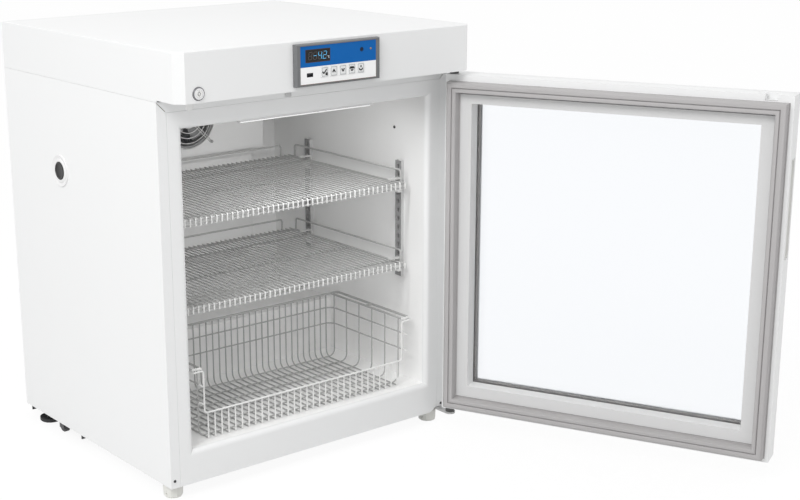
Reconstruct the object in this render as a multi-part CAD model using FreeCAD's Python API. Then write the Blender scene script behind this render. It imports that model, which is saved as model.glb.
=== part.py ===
"""Under-counter pharmacy refrigerator with a glazed door that stands open.

Sizes are in millimetres. The floor is z = 0, the front faces -Y, x = 0 is the middle of the
width and y = 0 is midway between the front and the rear feet.
"""
import FreeCAD, Part
import math
import os

V = FreeCAD.Vector

# Cabinet
cabinet_width = 650.0
cabinet_front = -260.0
cabinet_back = 310.0
cabinet_bottom = 25.0
cabinet_top = 723.0
sheet = 1.2
flange_width = 19.0
seam = 0.3

# Inside of the cabinet
wall_thickness = 50.0
floor_height = cabinet_bottom + 64.0
ceiling_height = cabinet_top - 51.0
back_wall = cabinet_back - 60.0
liner_sheet = 1.5
lip_radius = 10.0
step_front = 52.0
step_height = floor_height + 111.0
step_insulation = 32.0

# Top cap over the cabinet and the door
cap_front = cabinet_front - 70.0
cap_top = cabinet_top + 89.0
cap_underside_height = cabinet_top + 3.5
cap_chamfer = 15.0
cap_wall = 3.0

# Door, measured closed and then turned to where it stands
door_open_angle = 114.74
door_hinge_x = 313.2
door_hinge_y = -293.2
door_bottom = cabinet_bottom + 17.7
door_height = cabinet_top - 5.7 - door_bottom
door_gap = 20.0
door_edge_radius = 4.0
gasket_inner_inset = 31.0
gasket_width = 24.0
gasket_top_inset = 36.5
gasket_seat_depth = 6.0
window_inset = 54.0
reveal_depth = 30.0
pane = 4.0
pane_gap = 12.0
spacer_width = 14.0
glass_cover = 11.0
frame_bar = 25.0
front_lip = 3.4

# Hinges
pin_radius = 4.0
pin_length = 20.0
bush_radius = 6.5
bush_flange_radius = 9.0
hinge_nose_radius = 10.5
running_clearance = 0.05
part_clearance = 0.3
hinge_plate = 3.0
lower_arm_low = 29.0
lower_arm_high = 33.0

# Finger grip in the free edge of the door
grip_low = 423.0
grip_length = 180.0
grip_width = 24.0
grip_depth = 14.0
grip_from_inner_face = 14.0
grip_wall = 1.2

# Lock above the free edge
lock_x = -285.0
lock_z = cap_underside_height + 15.5
lock_radius = 9.0
lock_ring_radius = 12.0
lock_core_radius = 6.5
cam_width = 15.0
cam_reach = 32.0
cam_y = cap_front + 29.0
cam_thickness = 3.0
cam_clearance = 3.5

# Control panel
panel_width = 185.0
panel_high = cap_top - 5.0
panel_low = panel_high - 73.5
panel_depth = 10.5
panel_draft = 1.5
panel_chamfer = 6.0
label_width = 168.0
label_low = panel_low + 3.5
label_high = panel_high - 3.0
label_thickness = 2.0
label_recess = 1.0
key_width = 15.5
key_height = 17.7
key_pitch = 20.0
key_first_x = -31.8
key_z = panel_low + 22.7
key_thickness = 4.0
key_travel = 0.8
key_clearance = 0.25
display_left = -72.7
display_low = panel_low + 40.9
display_width = 53.9
display_height = 22.8
sounder_x = 51.0
sounder_radius = 2.5
lamp_x = 71.4
lamp_radius = 2.0
lamp_z = panel_low + 55.1
usb_x = -63.25
usb_z = panel_low + 19.75
usb_width = 13.5
usb_height = 7.1

# Access port in the left side
port_y = 97.4
port_z = ceiling_height - 121.3
port_flange_radius = 31.0
port_flange = 2.5
port_bore_radius = 18.5
port_tube_wall = 3.0

# Shelves, uprights and clips
upright_width = 18.0
upright_depth = 7.0
upright_sheet = 1.5
upright_low = 302.0
upright_high = 537.0
upright_rear_y = 120.0
upright_front_y = -182.0
hole_pitch = 17.7
hole_height = 8.0
hole_width = 6.0
shelf_width = 524.0
shelf_front = -212.0
shelf_rear = 160.0
shelf_levels = (498.0, 336.0)
deck_wire = 2.8
frame_wire = 5.0
deck_pitch = 22.5
lip_drop = 11.0
shelf_cross_y = (98.0, -42.0, -182.0)
guard_height = 24.0
rear_guard_half = 226.0
side_guard_rear = 150.0
side_guard_front = -203.0

# Basket on the cabinet floor
basket_floor_half = 238.0
basket_rim_half = 256.0
basket_front = -237.0
basket_rear = 3.0
basket_low = floor_height + 0.3
basket_rim_height = basket_low + 140.7
basket_front_height = basket_low + 52.7
basket_wire = 2.8
basket_rim_wire = 5.0
basket_pitch = 30.0
basket_side_pitch = 42.0
basket_rows = (basket_low + 107.7, basket_low + 73.7)
basket_bend = 12.0

# Evaporator housing and its fan
cover_half = 185.0
cover_front = 164.0
cover_duct_front = 210.0
cover_break = ceiling_height - 146.0
cover_bottom = step_height + 100.0
cover_sheet = 1.5
fan_z = ceiling_height - 66.0
fan_opening_radius = 60.0
grille_radius = 64.0
grille_wire = 2.0
grille_rings = 4
grille_spokes = 8
grille_screw = 54.0
fan_blade_radius = 56.0
fan_frame_half = 62.0
fan_frame_depth = 25.0

# Light under the ceiling
light_half = 148.5
light_y = -242.0
light_width = 10.0
light_depth = 4.0

# Machine compartment
tray_front = 86.0
tray_rear = 300.0
tray_top = 27.0
tray_flange = 15.0
tray_sheet = 2.0
compressor_x = -120.0
compressor_y = 200.0
compressor_radius = 74.0
compressor_height = 122.0
mount_height = 14.0
mount_spacing_x = 160.0
mount_spacing_y = 100.0

# Feet
front_foot_x = 302.0
rear_foot_x = 300.0
front_foot_y = -230.0
rear_foot_y = 252.0
front_foot_radius = 22.0
rear_foot_radius = 23.0
rear_foot_body = 8.0
foot_stud_radius = 5.0
roller_x = 310.0
roller_y = 172.0
roller_radius = 13.5
roller_width = 11.0
roller_axle = 2.5

# Refrigerant pipes and the temperature probe
suction_pipe = 4.0
capillary_pipe = 2.0
probe_radius = 3.0
probe_length = 45.0

half_width = cabinet_width / 2
tray_half = half_width - sheet
inner_half = half_width - wall_thickness
compartment_ceiling = step_height - step_insulation
compartment_front = step_front + step_insulation
front_foot_body = cabinet_bottom - part_clearance
roller_height = roller_radius + 0.7
lower_arm_x = (303.0, 318.0)
lower_arm_back = cabinet_front + 20.0
condenser_x = (92.0, 232.0)
condenser_height = 132.0
condenser_y = (190.0, 240.0)
condenser_rows = 45.0
discharge_stub = (204.0, condenser_rows + 56.0)
evaporator_x = (-150.0, 150.0)
evaporator_y = (back_wall - 44.0, back_wall - 1.0)
evaporator_z = (ceiling_height - 137.0, ceiling_height - 7.0)
evaporator_inlet = (evaporator_x[0], sum(evaporator_y) / 2, evaporator_z[1] - 15.0)
evaporator_outlet = (evaporator_x[0], sum(evaporator_y) / 2, evaporator_z[0] + 15.0)
suction_stub = (180.0, 84.0)
compressor_stub_end = compressor_x + compressor_radius + 20.0
door_inner = cabinet_front - door_gap
door_thickness = door_inner - cap_front
door_top = door_bottom + door_height


def block(x, y, z):
    """A box between two values on each axis."""
    return Part.makeBox(x[1] - x[0], y[1] - y[0], z[1] - z[0], V(x[0], y[0], z[0]))


def rod(axis, place, radius, start, end, sides=0):
    """A bar along an axis; place holds the two other coordinates in X, Y, Z order.

    The bar is round, or a regular prism when a number of sides is given.
    """
    if sides:
        return turned(axis, place, [(radius, start), (radius, end)], sides)
    if axis == "x":
        return Part.makeCylinder(radius, end - start, V(start, place[0], place[1]), V(1, 0, 0))
    if axis == "y":
        return Part.makeCylinder(radius, end - start, V(place[0], start, place[1]), V(0, 1, 0))
    return Part.makeCylinder(radius, end - start, V(place[0], place[1], start), V(0, 0, 1))


def turned(axis, place, profile, sides):
    """A body of regular polygons that follows a profile of radius and position on the axis."""
    rings = []
    for radius, position in profile:
        corners = []
        for index in range(sides):
            angle = 2 * math.pi * (index + 0.5) / sides
            a = place[0] + radius * math.cos(angle)
            b = place[1] + radius * math.sin(angle)
            corners.append({"x": V(position, a, b), "y": V(a, position, b), "z": V(a, b, position)}[axis])
        rings.append(corners)
    outlines = [rings[0], rings[-1]]
    for first, second in zip(rings, rings[1:]):
        for index in range(sides):
            after = (index + 1) % sides
            outlines.append([first[index], first[after], second[after], second[index]])
    faces = [Part.Face(Part.makePolygon(corners + corners[:1])) for corners in outlines]
    body = Part.Solid(Part.makeShell(faces))
    if body.Volume < 0:
        body.reverse()
    return body


def facet_radius(radius, sides=24):
    """Radius of the corners of a polygon whose flats lie at the radius that is given."""
    return radius / math.cos(math.pi / sides)


def tube(axis, place, outer, inner, start, end, sides=0):
    """A tube with open ends and a round bore."""
    return rod(axis, place, outer, start, end, sides).cut(rod(axis, place, inner, start - 1, end + 1))


def fused(shapes):
    """All the shapes as one solid, without the seams between coplanar faces."""
    first, rest = shapes[0], shapes[1:]
    return first.fuse(rest).removeSplitter() if rest else first


def border(outer_x, outer_z, inset, y):
    """A rectangular ring in the XZ plane, as wide as inset."""
    hole = block((outer_x[0] + inset, outer_x[1] - inset), (y[0] - 1, y[1] + 1),
                 (outer_z[0] + inset, outer_z[1] - inset))
    return block(outer_x, y, outer_z).cut(hole)


def extruded(points, plane, start, length):
    """A polygon in one plane, pushed along the axis square to that plane."""
    if plane == "yz":
        corners = [V(start, a, b) for a, b in points]
        push = V(length, 0, 0)
    elif plane == "xz":
        corners = [V(a, start, b) for a, b in points]
        push = V(0, length, 0)
    else:
        corners = [V(a, b, start) for a, b in points]
        push = V(0, 0, length)
    return Part.Face(Part.makePolygon(corners + corners[:1])).extrude(push)


def rounded_path(points, radius, steps=2):
    """The points of an open path with each corner replaced by a short run of an arc."""
    path = [points[0]]
    for before, corner, after in zip(points, points[1:], points[2:]):
        back = V(before[0] - corner[0], before[1] - corner[1], 0)
        ahead = V(after[0] - corner[0], after[1] - corner[1], 0)
        half = back.getAngle(ahead) / 2
        reach = radius / math.tan(half)
        middle = (back.normalize() + ahead.normalize()).normalize()
        centre = V(corner[0], corner[1], 0) + middle * (radius / math.sin(half))
        start = V(corner[0], corner[1], 0) + back * reach - centre
        finish = V(corner[0], corner[1], 0) + ahead * reach - centre
        turn = math.pi - 2 * half
        if start.cross(finish).z < 0:
            turn = -turn
        for step in range(steps + 1):
            angle = math.degrees(turn * step / steps)
            spoke = FreeCAD.Rotation(V(0, 0, 1), angle).multVec(start)
            path.append((centre.x + spoke.x, centre.y + spoke.y))
    path.append(points[-1])
    return path


def flat_wire(path, plane, middle, width):
    """A wire of square section that bends in one plane, with mitred corners."""
    half = width / 2
    sides = ([], [])
    for index, (a, b) in enumerate(path):
        lines = []
        if index > 0:
            lines.append((a - path[index - 1][0], b - path[index - 1][1]))
        if index < len(path) - 1:
            lines.append((path[index + 1][0] - a, path[index + 1][1] - b))
        normals = [(-db / math.hypot(da, db), da / math.hypot(da, db)) for da, db in lines]
        na = sum(n[0] for n in normals)
        nb = sum(n[1] for n in normals)
        size = math.hypot(na, nb)
        na, nb = na / size, nb / size
        mitre = half / (na * normals[0][0] + nb * normals[0][1])
        sides[0].append((a + na * mitre, b + nb * mitre))
        sides[1].append((a - na * mitre, b - nb * mitre))
    return extruded(sides[0] + sides[1][::-1], plane, middle - half, width)


def outer_shell():
    """Folded steel wrap: two sides and a top, with front and rear returns mitred at the top corners."""
    fold = half_width - sheet
    shell = block((-half_width, half_width), (cabinet_front, cabinet_back), (cabinet_bottom, cabinet_top))
    shell = shell.cut(block((-fold, fold), (cabinet_front + sheet, cabinet_back - sheet),
                            (cabinet_bottom - 1, cabinet_top - sheet)))
    mouth = half_width - flange_width
    shell = shell.cut(block((-mouth, mouth), (cabinet_front - 1, cabinet_back + 1),
                            (cabinet_bottom - 1, cabinet_top - flange_width)))
    cuts = []
    for side in (-1, 1):
        slit = block((-flange_width * 0.7, flange_width * 0.6), (cabinet_front - 1, cabinet_front + sheet),
                     (-0.6, 0.6))
        slit.rotate(V(0, 0, 0), V(0, 1, 0), -45 * side)
        slit.translate(V(side * (half_width - flange_width / 2), 0, cabinet_top - flange_width / 2))
        cuts.append(slit)
        screw = (side * (half_width - flange_width * 0.4), cabinet_bottom + 14)
        cuts.append(rod("y", screw, 1.9, cabinet_front - 1, cabinet_front + sheet, 8))
    cuts.append(rod("x", (port_y, port_z), port_bore_radius + port_tube_wall, -half_width - 1, -fold + 1))
    cuts.append(block((mouth - 1, lower_arm_x[1] + 1), (cabinet_front - 1, cabinet_front + sheet + 1),
                      (cabinet_bottom - 1, lower_arm_high + 0.6)))
    return shell.cut(cuts)


def front_frame():
    """Face of the cabinet round the opening, with a rounded lip that leads into the liner."""
    half = half_width - flange_width - seam
    outer_z = (cabinet_bottom, cabinet_top - flange_width - seam)
    depth = lip_radius + liner_sheet
    plate = block((-half, half), (cabinet_front, cabinet_front + depth), outer_z)
    hole = block((-inner_half, inner_half), (cabinet_front - 1, cabinet_front + depth + 1),
                 (floor_height, ceiling_height))
    plate = plate.cut(hole)
    edges = []
    for edge in plate.Edges:
        box = edge.BoundBox
        inside = abs(box.XMin) <= inner_half + 0.1 and abs(box.XMax) <= inner_half + 0.1
        at_front = box.YMax < cabinet_front + 0.1
        if inside and at_front and box.ZMin > cabinet_bottom + 1 and box.ZMax < ceiling_height + 1:
            edges.append(edge)
    plate = plate.makeFillet(lip_radius, edges)
    rebate = block((-inner_half - lip_radius, inner_half + lip_radius),
                   (cabinet_front + depth - liner_sheet, cabinet_front + depth + 1),
                   (floor_height - lip_radius, ceiling_height + lip_radius))
    plate = plate.cut(rebate)
    low = cabinet_bottom - 1
    left, high = lower_arm_x[0], lower_arm_high + 0.6
    notch = extruded([(left - 12, low), (left - 12, low + 1.3), (left - 5, 30), (left - 0.3, high),
                      (half + 1, high), (half + 1, low)], "xz", cabinet_front - 1, depth + 2)
    return plate.cut(notch)


def cavity(grow):
    """The space inside the liner, grown by a distance on every closed side."""
    front = cabinet_front + lip_radius
    points = [(front, floor_height - grow), (step_front + grow, floor_height - grow),
              (step_front + grow, step_height - grow), (back_wall + grow, step_height - grow),
              (back_wall + grow, ceiling_height + grow), (front, ceiling_height + grow)]
    return extruded(points, "yz", -inner_half - grow, 2 * (inner_half + grow))


def inner_liner():
    """One-piece moulded liner with a step over the machine compartment and a front rim."""
    rim = block((-inner_half - lip_radius, inner_half + lip_radius),
                (cabinet_front + lip_radius, cabinet_front + lip_radius + liner_sheet),
                (floor_height - lip_radius, ceiling_height + lip_radius))
    liner = cavity(liner_sheet).fuse(rim).cut(cavity(0)).removeSplitter()
    holes = [rod("x", (port_y, port_z), port_bore_radius + port_tube_wall, -half_width, -inner_half + 1)]
    for path, radius in pipe_runs():
        holes.append(pipe(path, radius + part_clearance))
    return liner.cut(holes)


def insulation():
    """Foam between the outer sheets and the liner, with room for the machine compartment."""
    front = cabinet_front + lip_radius + liner_sheet
    body = block((-half_width + sheet, half_width - sheet), (front, cabinet_back - sheet),
                 (cabinet_bottom + sheet, cabinet_top - sheet))
    machine = block((-half_width, half_width), (compartment_front, cabinet_back),
                    (cabinet_bottom, compartment_ceiling))
    foam = body.cut([cavity(liner_sheet), machine])
    hole = rod("x", (port_y, port_z), port_bore_radius + port_tube_wall, -half_width - 1, -inner_half + 1)
    room = [hole, block(lower_arm_x, (front - 1, lower_arm_back), (cabinet_bottom, lower_arm_high))]
    for side in (-1, 1):
        room.append(rod("z", (side * front_foot_x, front_foot_y), 9.0, cabinet_bottom, cabinet_bottom + sheet + 34, 12))
    for path, radius in pipe_runs():
        room.append(pipe(path, radius + part_clearance))
    return foam.cut(room)


def back_panel():
    """Plain steel back above the machine compartment."""
    half = half_width - flange_width
    return block((-half, half), (cabinet_back - sheet, cabinet_back),
                 (compartment_ceiling, cabinet_top - flange_width))


def base_panel():
    """Steel underside in front of the machine compartment, with the threaded sockets of the front feet."""
    plate = block((-half_width + sheet, half_width - sheet),
                  (cabinet_front + lip_radius + liner_sheet, compartment_front),
                  (cabinet_bottom, cabinet_bottom + sheet))
    shapes = [plate]
    bores = []
    for side in (-1, 1):
        place = (side * front_foot_x, front_foot_y)
        shapes.append(rod("z", place, 9.0, cabinet_bottom + sheet, cabinet_bottom + sheet + 32, 12))
        bores.append(rod("z", place, foot_stud_radius + running_clearance, cabinet_bottom - 1,
                         cabinet_bottom + sheet + 33))
    return fused(shapes).cut(bores)


def rear_cover():
    """Louvred cover of the machine compartment, with the opening of the power inlet."""
    half = half_width - flange_width
    low = tray_top
    cover = block((-half, half), (cabinet_back - sheet, cabinet_back), (low, compartment_ceiling - seam))
    slots = []
    for column in (-1, 1):
        for row in range(7):
            z = low + 24 + row * 14
            centre = column * 125
            slots.append(block((centre - 80, centre + 80), (cabinet_back - 5, cabinet_back + 5), (z, z + 5)))
    slots.append(block((256, 284), (cabinet_back - 5, cabinet_back + 5), (55, 79)))
    return cover.cut(slots)


def compressor_tray():
    """Steel tray between the sides, with turned-down ends and a fork for each transport roller."""
    plate = block((-tray_half, tray_half), (tray_front, cabinet_back - sheet), (tray_top - tray_sheet, tray_top))
    shapes = [plate]
    for y in (tray_front, tray_rear - tray_sheet):
        shapes.append(block((-tray_half + 5, tray_half - 5), (y, y + tray_sheet), (tray_top - tray_flange, tray_top)))
    cuts = [rod("z", place, 4.0, 0, tray_top + 1, 8) for place in mount_places()]
    for side in (-1, 1):
        x = tuple(sorted((side * tray_half, side * (tray_half - tray_sheet))))
        shapes.append(block(x, (tray_front, tray_rear), (tray_top, tray_top + 18)))
        middle = side * roller_x
        reach = roller_width / 2 + part_clearance
        for inner, outer in ((-reach - 2, -reach), (reach, reach + 2)):
            cheek = block((middle + inner, middle + outer), (roller_y - 9, roller_y + 9),
                          (roller_height - 5, tray_top))
            shapes.append(cheek)
        shapes.append(rod("x", (roller_y, roller_height), roller_axle, middle - reach - 1, middle + reach + 1))
        cuts.append(block((middle - reach, middle + reach), (roller_y - roller_radius - 1, roller_y + roller_radius + 1),
                          (tray_top - tray_sheet - 1, tray_top + 1)))
        cuts.append(rod("z", (side * rear_foot_x, rear_foot_y), foot_stud_radius, 0, tray_top + 1, 12))
    body = fused([shapes[0]] + shapes[1:3]).cut(cuts)
    return fused([body] + shapes[3:])


def transport_roller(side):
    """Small roller on the fork of the tray, just clear of the floor while the cabinet stands on its feet."""
    x = side * roller_x
    place = (roller_y, roller_height)
    half = roller_width / 2
    wheel = turned("x", place, [(roller_radius - 1.5, x - half), (roller_radius, x - half + 1.5),
                                (roller_radius, x + half - 1.5), (roller_radius - 1.5, x + half)], 16)
    return wheel.cut(rod("x", place, roller_axle + running_clearance, x - half - 1, x + half + 1))


def mount_places():
    """Where the four rubber mounts of the compressor stand."""
    places = []
    for x in (-1, 1):
        for y in (-1, 1):
            places.append((compressor_x + x * mount_spacing_x / 2, compressor_y + y * mount_spacing_y / 2))
    return places


def compressor_mounts():
    """Four waisted rubber bushes, each with its bolt through the tray."""
    mounts = []
    top = tray_top + mount_height
    for place in mount_places():
        profile = [(6.5, tray_top - tray_sheet - 4), (6.5, tray_top - tray_sheet)]
        head = turned("z", place, profile, 8)
        profile = [(11, tray_top), (11, tray_top + 4), (7.5, tray_top + 6), (7.5, top - 4), (9, top)]
        bush = turned("z", place, profile, 8)
        mounts.append(fused([head, bush, rod("z", place, 3.8, tray_top - 4, top + 8, 8)]))
    return Part.makeCompound(mounts)


def compressor():
    """Hermetic compressor: a domed can on a foot plate, with suction and discharge stubs."""
    foot = tray_top + mount_height
    low = foot + 3
    r = compressor_radius
    top = foot + compressor_height
    place = (compressor_x, compressor_y)
    profile = [(r * 0.72, low - 1), (r, low + 24), (r, top - 46), (r * 0.86, top - 16), (r * 0.5, top)]
    can = turned("z", place, profile, 16)
    rim = rod("z", place, r + 3, low + 56, low + 62, 16)
    reach_x, reach_y = mount_spacing_x / 2 + 13, mount_spacing_y / 2 + 13
    plate = block((compressor_x - reach_x, compressor_x + reach_x),
                  (compressor_y - reach_y, compressor_y + reach_y), (foot, foot + 3))
    plate = plate.cut([rod("z", mount, 4.0, foot - 1, foot + 4, 8) for mount in mount_places()])
    stubs = []
    for (y, z), radius in ((discharge_stub, capillary_pipe + 2), (suction_stub, suction_pipe + 2)):
        stubs.append(rod("x", (y, z), radius, compressor_x + r - 16, compressor_stub_end, 8))
    box = block((compressor_x - r - 24, compressor_x - r + 10), (compressor_y - 28, compressor_y + 28),
                (low + 18, low + 66))
    return fused([can, rim, plate, box] + stubs)


def condenser():
    """Finned condenser block with its end plates, a fan ring and the arm that holds the fan spindle."""
    x, y = condenser_x, condenser_y
    z = (tray_top, tray_top + condenser_height)
    solids = []
    for start in (x[0], x[1] - 3):
        solids.append(block((start, start + 3), y, z))
    for row in range(3):
        low = condenser_rows + row * 28
        solids.append(block(x, (y[0] + 10, y[1] - 10), (low - 4, low + 4)))
    for index in range(7):
        start = x[0] + 18 + index * 17.3
        solids.append(block((start, start + 1.0), (y[0] + 2, y[1] - 2), (z[0] + 6, z[1] - 4)))
    centre_x, centre_z = condenser_fan_place()
    ring_y = (y[0] - 24, y[0])
    shroud = block(x, ring_y, z).cut(rod("y", (centre_x, centre_z), 59.0, ring_y[0] - 1, ring_y[1] + 1, 24))
    arm = block((x[0], x[1]), (y[0] - 3, y[0]), (centre_z - 5, centre_z + 5))
    spindle = rod("y", (centre_x, centre_z), 2.5, ring_y[0] + 2, y[0])
    return fused(solids + [shroud, arm, spindle])


def condenser_fan_place():
    """Centre of the condenser fan, as x and z."""
    return (condenser_x[0] + condenser_x[1]) / 2, tray_top + condenser_height / 2


def fan_rotor(x, z, radius, y, blades=5):
    """A fan wheel on a bored hub, with flat blades set at an angle that fills the hub's depth."""
    hub_radius = 17.0
    tip_half = 14.0
    thickness = 2.0
    hub = tube("y", (x, z), hub_radius, 2.5 + running_clearance, y[0], y[1], 16)
    shapes = [hub]
    pitch = math.degrees(math.asin(((y[1] - y[0]) / 2 - 1.5) / tip_half))
    middle = (y[0] + y[1]) / 2
    outline = [(-8, hub_radius - 4), (8, hub_radius - 4), (tip_half, radius * 0.96), (-tip_half, radius * 0.96)]
    for index in range(blades):
        blade = extruded(outline, "xz", -thickness / 2, thickness)
        blade.rotate(V(0, 0, 0), V(0, 0, 1), pitch)
        blade.rotate(V(0, 0, 0), V(0, 1, 0), 360.0 * index / blades)
        blade.translate(V(x, middle, z))
        shapes.append(blade)
    return fused(shapes)


def drain_pan():
    """Open tray that catches the defrost water beside the compressor."""
    x = (-22.0, 78.0)
    y = (120.0, 280.0)
    z = (tray_top, tray_top + 32.0)
    pan = block(x, y, z)
    well = block((x[0] + 2, x[1] - 2), (y[0] + 2, y[1] - 2), (z[0] + 2, z[1] + 1))
    return pan.cut(well)


def power_inlet():
    """Mains inlet with its recessed socket and three flat pins."""
    body = block((256.3, 283.7), (cabinet_back - 26, cabinet_back), (55.3, 78.7))
    flange = block((250, 290), (cabinet_back, cabinet_back + 2), (50, 84))
    inlet = fused([body, flange])
    inlet = inlet.cut(block((260, 280), (cabinet_back - 16, cabinet_back + 3), (59, 75)))
    blades = []
    for x, z in ((265, 64), (275, 64), (270, 70)):
        blades.append(block((x - 1, x + 1), (cabinet_back - 17, cabinet_back - 2), (z - 2, z + 2)))
    return fused([inlet] + blades)


def evaporator():
    """Finned evaporator behind the fan, on two end plates."""
    x, y, z = evaporator_x, evaporator_y, evaporator_z
    middle = (y[0] + y[1]) / 2
    solids = []
    for start in (x[0], x[1] - 2):
        solids.append(block((start, start + 2), (y[0], back_wall), z))
    for height in (evaporator_inlet[2], evaporator_outlet[2]):
        solids.append(block(x, (middle - 5, middle + 5), (height - 5, height + 5)))
    for index in range(9):
        start = x[0] + 28 + index * 30.4
        solids.append(block((start, start + 1), y, (z[0] + 4, z[1] - 4)))
    return fused(solids)


def pipe_runs():
    """Corner points and radius of each refrigerant pipe."""
    stub = compressor_stub_end
    y, z = discharge_stub
    discharge = ([(stub, y, z), (condenser_x[0], y, z)], capillary_pipe + 1)
    y, z = suction_stub
    riser = -160.0
    suction = ([(stub, y, z), (stub + 20, y, z), (stub + 20, 289, z), (riser, 289, z), (riser, 289, evaporator_outlet[2]),
                (riser, evaporator_outlet[1], evaporator_outlet[2]), evaporator_outlet], suction_pipe)
    riser = -176.0
    z = condenser_rows + 28
    liquid = ([(condenser_x[0], 226, z), (84, 226, z), (84, 298, z), (riser, 298, z), (riser, 298, evaporator_inlet[2]),
               (riser, evaporator_inlet[1], evaporator_inlet[2]), evaporator_inlet], capillary_pipe)
    return [discharge, suction, liquid]


def pipe(path, radius):
    """An eight-sided pipe through the corner points, with square elbows at the corners."""
    shapes = []
    for start, end in zip(path, path[1:]):
        axis = "xyz"[[abs(b - a) > 0.01 for a, b in zip(start, end)].index(True)]
        index = "xyz".index(axis)
        place = tuple(c for n, c in enumerate(start) if n != index)
        low, high = sorted((start[index], end[index]))
        shapes.append(rod(axis, place, radius, low, high, 8))
    for corner in path[1:-1]:
        r = radius * 1.05
        shapes.append(block(*[(c - r, c + r) for c in corner]))
    return fused(shapes)


def refrigerant_pipes():
    """Discharge, suction and liquid pipes of the cooling circuit."""
    return Part.makeCompound([pipe(path, radius) for path, radius in pipe_runs()])


def temperature_probe():
    """Probe in the return air behind the evaporator housing, in a saddle clip on the rear wall."""
    x, y, z = cover_half - 20, back_wall - 12, fan_z
    probe = rod("z", (x, y), probe_radius, z - probe_length / 2, z + probe_length / 2, 12)
    clip = block((x - 5, x + 5), (y, back_wall), (z - 6, z + 6))
    foot = block((x - 9, x + 9), (back_wall - 2, back_wall), (z - 6, z + 6))
    return fused([probe, clip, foot])


def evaporator_cover():
    """Folded housing over the evaporator and the air duct below it."""
    t = cover_sheet
    outer = [(back_wall, ceiling_height), (cover_front, ceiling_height), (cover_front, cover_break),
             (cover_duct_front, cover_break - 10), (cover_duct_front, cover_bottom), (back_wall, cover_bottom)]
    inner = [(back_wall + 1, ceiling_height + 1), (cover_front + t, ceiling_height + 1),
             (cover_front + t, cover_break + t), (cover_duct_front + t, cover_break - 10 + t),
             (cover_duct_front + t, cover_bottom + t), (back_wall + 1, cover_bottom + t)]
    shell = extruded(outer, "yz", -cover_half, 2 * cover_half)
    shell = shell.cut(extruded(inner, "yz", -cover_half + t, 2 * (cover_half - t)))
    holes = [rod("y", (0, fan_z), fan_opening_radius, cover_front - 1, cover_front + t + 1, 32)]
    for row in range(4):
        z = cover_bottom + 24 + row * 13
        for x in (-90, 90):
            holes.append(block((x - 45, x + 45), (cover_duct_front - 1, cover_duct_front + t + 1), (z, z + 5)))
    return shell.cut(holes)


def fan_grille():
    """Wire guard of the fan: rings in one plane on spokes, with four ears for the screws."""
    w = grille_wire
    front = (cover_front - 2 * w, cover_front - w)
    shapes = []
    step = (grille_radius - 10) / (grille_rings - 1)
    for index in range(grille_rings):
        radius = 10 + index * step
        ring = rod("y", (0, fan_z), radius, front[0], front[1], 16)
        shapes.append(ring.cut(rod("y", (0, fan_z), radius - w, front[0] - 1, front[1] + 1, 16)))
    for index in range(grille_spokes // 2):
        spoke = block((-grille_radius + w / 2, grille_radius - w / 2), (front[0] + w / 2, cover_front - w / 2),
                      (-w / 2, w / 2))
        spoke.rotate(V(0, 0, 0), V(0, 1, 0), 22.5 + 360.0 * index / grille_spokes)
        spoke.translate(V(0, 0, fan_z))
        shapes.append(spoke)
    for x in (-1, 1):
        for z in (-1, 1):
            place = (x * grille_screw, fan_z + z * grille_screw)
            shapes.append(rod("y", place, 5.0, front[0], cover_front, 8))
            arm = block((grille_radius - 3, grille_screw * 1.414), (front[0], front[1]), (-w, w))
            arm.rotate(V(0, 0, 0), V(0, 1, 0), math.degrees(math.atan2(-z, x)))
            arm.translate(V(0, 0, fan_z))
            shapes.append(arm)
    return fused(shapes)


def evaporator_fan_frame():
    """Square frame of the fan with the arms and spindle that carry its wheel."""
    y = (cover_front + cover_sheet, cover_front + cover_sheet + fan_frame_depth)
    half = fan_frame_half
    frame = block((-half, half), y, (fan_z - half, fan_z + half))
    frame = frame.cut(rod("y", (0, fan_z), fan_blade_radius + 3, y[0] - 1, y[1] + 1, 24))
    arm = block((-half, half), (y[1] - 3, y[1]), (fan_z - 4, fan_z + 4))
    spindle = rod("y", (0, fan_z), 2.5, y[0] + 2, y[1])
    return fused([frame, arm, spindle])


def upright(side, y):
    """Slotted channel that stands against a side wall, open towards the wall."""
    wall = side * inner_half
    face = side * (inner_half - upright_depth)
    x = tuple(sorted((wall, face)))
    bar = block(x, (y - upright_width / 2, y + upright_width / 2), (upright_low, upright_high))
    t = upright_sheet
    hollow_x = tuple(sorted((side * (inner_half + 1), side * (inner_half - upright_depth + t))))
    cuts = [block(hollow_x, (y - upright_width / 2 + t, y + upright_width / 2 - t),
                  (upright_low - 1, upright_high + 1))]
    count = int((upright_high - upright_low - hole_height) / hole_pitch)
    for index in range(count):
        z = upright_high - hole_pitch * (index + 0.6)
        hole_x = tuple(sorted((face - side, face + side * (t + 1))))
        cuts.append(block(hole_x, (y - hole_width / 2, y + hole_width / 2), (z - hole_height / 2, z + hole_height / 2)))
    return bar.cut(cuts)


def uprights():
    """The four slotted uprights."""
    bars = [upright(side, y) for side in (-1, 1) for y in (upright_rear_y, upright_front_y)]
    return Part.makeCompound(bars)


def shelf_clip(side, y, level):
    """Clip on an upright: a gusset with a ledge under the shelf's side wire and a tongue above it."""
    face = inner_half - upright_depth
    low = level - frame_wire
    tongue = level + deck_wire + part_clearance
    width = 14.0
    gusset = [(face, low - 18), (face, low), (face - 24, low), (face - 24, low - 3), (face - 8, low - 18)]
    plate = extruded(gusset, "xz", y - width / 2, width)
    back = block((face - 2, face), (y - width / 2, y + width / 2), (low - 18, tongue + 3))
    top = block((face - 26, face), (y - width / 2 + 3, y + width / 2 - 3), (tongue, tongue + 3))
    clip = fused([plate, back, top])
    return clip if side > 0 else clip.mirror(V(0, 0, 0), V(1, 0, 0))


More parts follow.
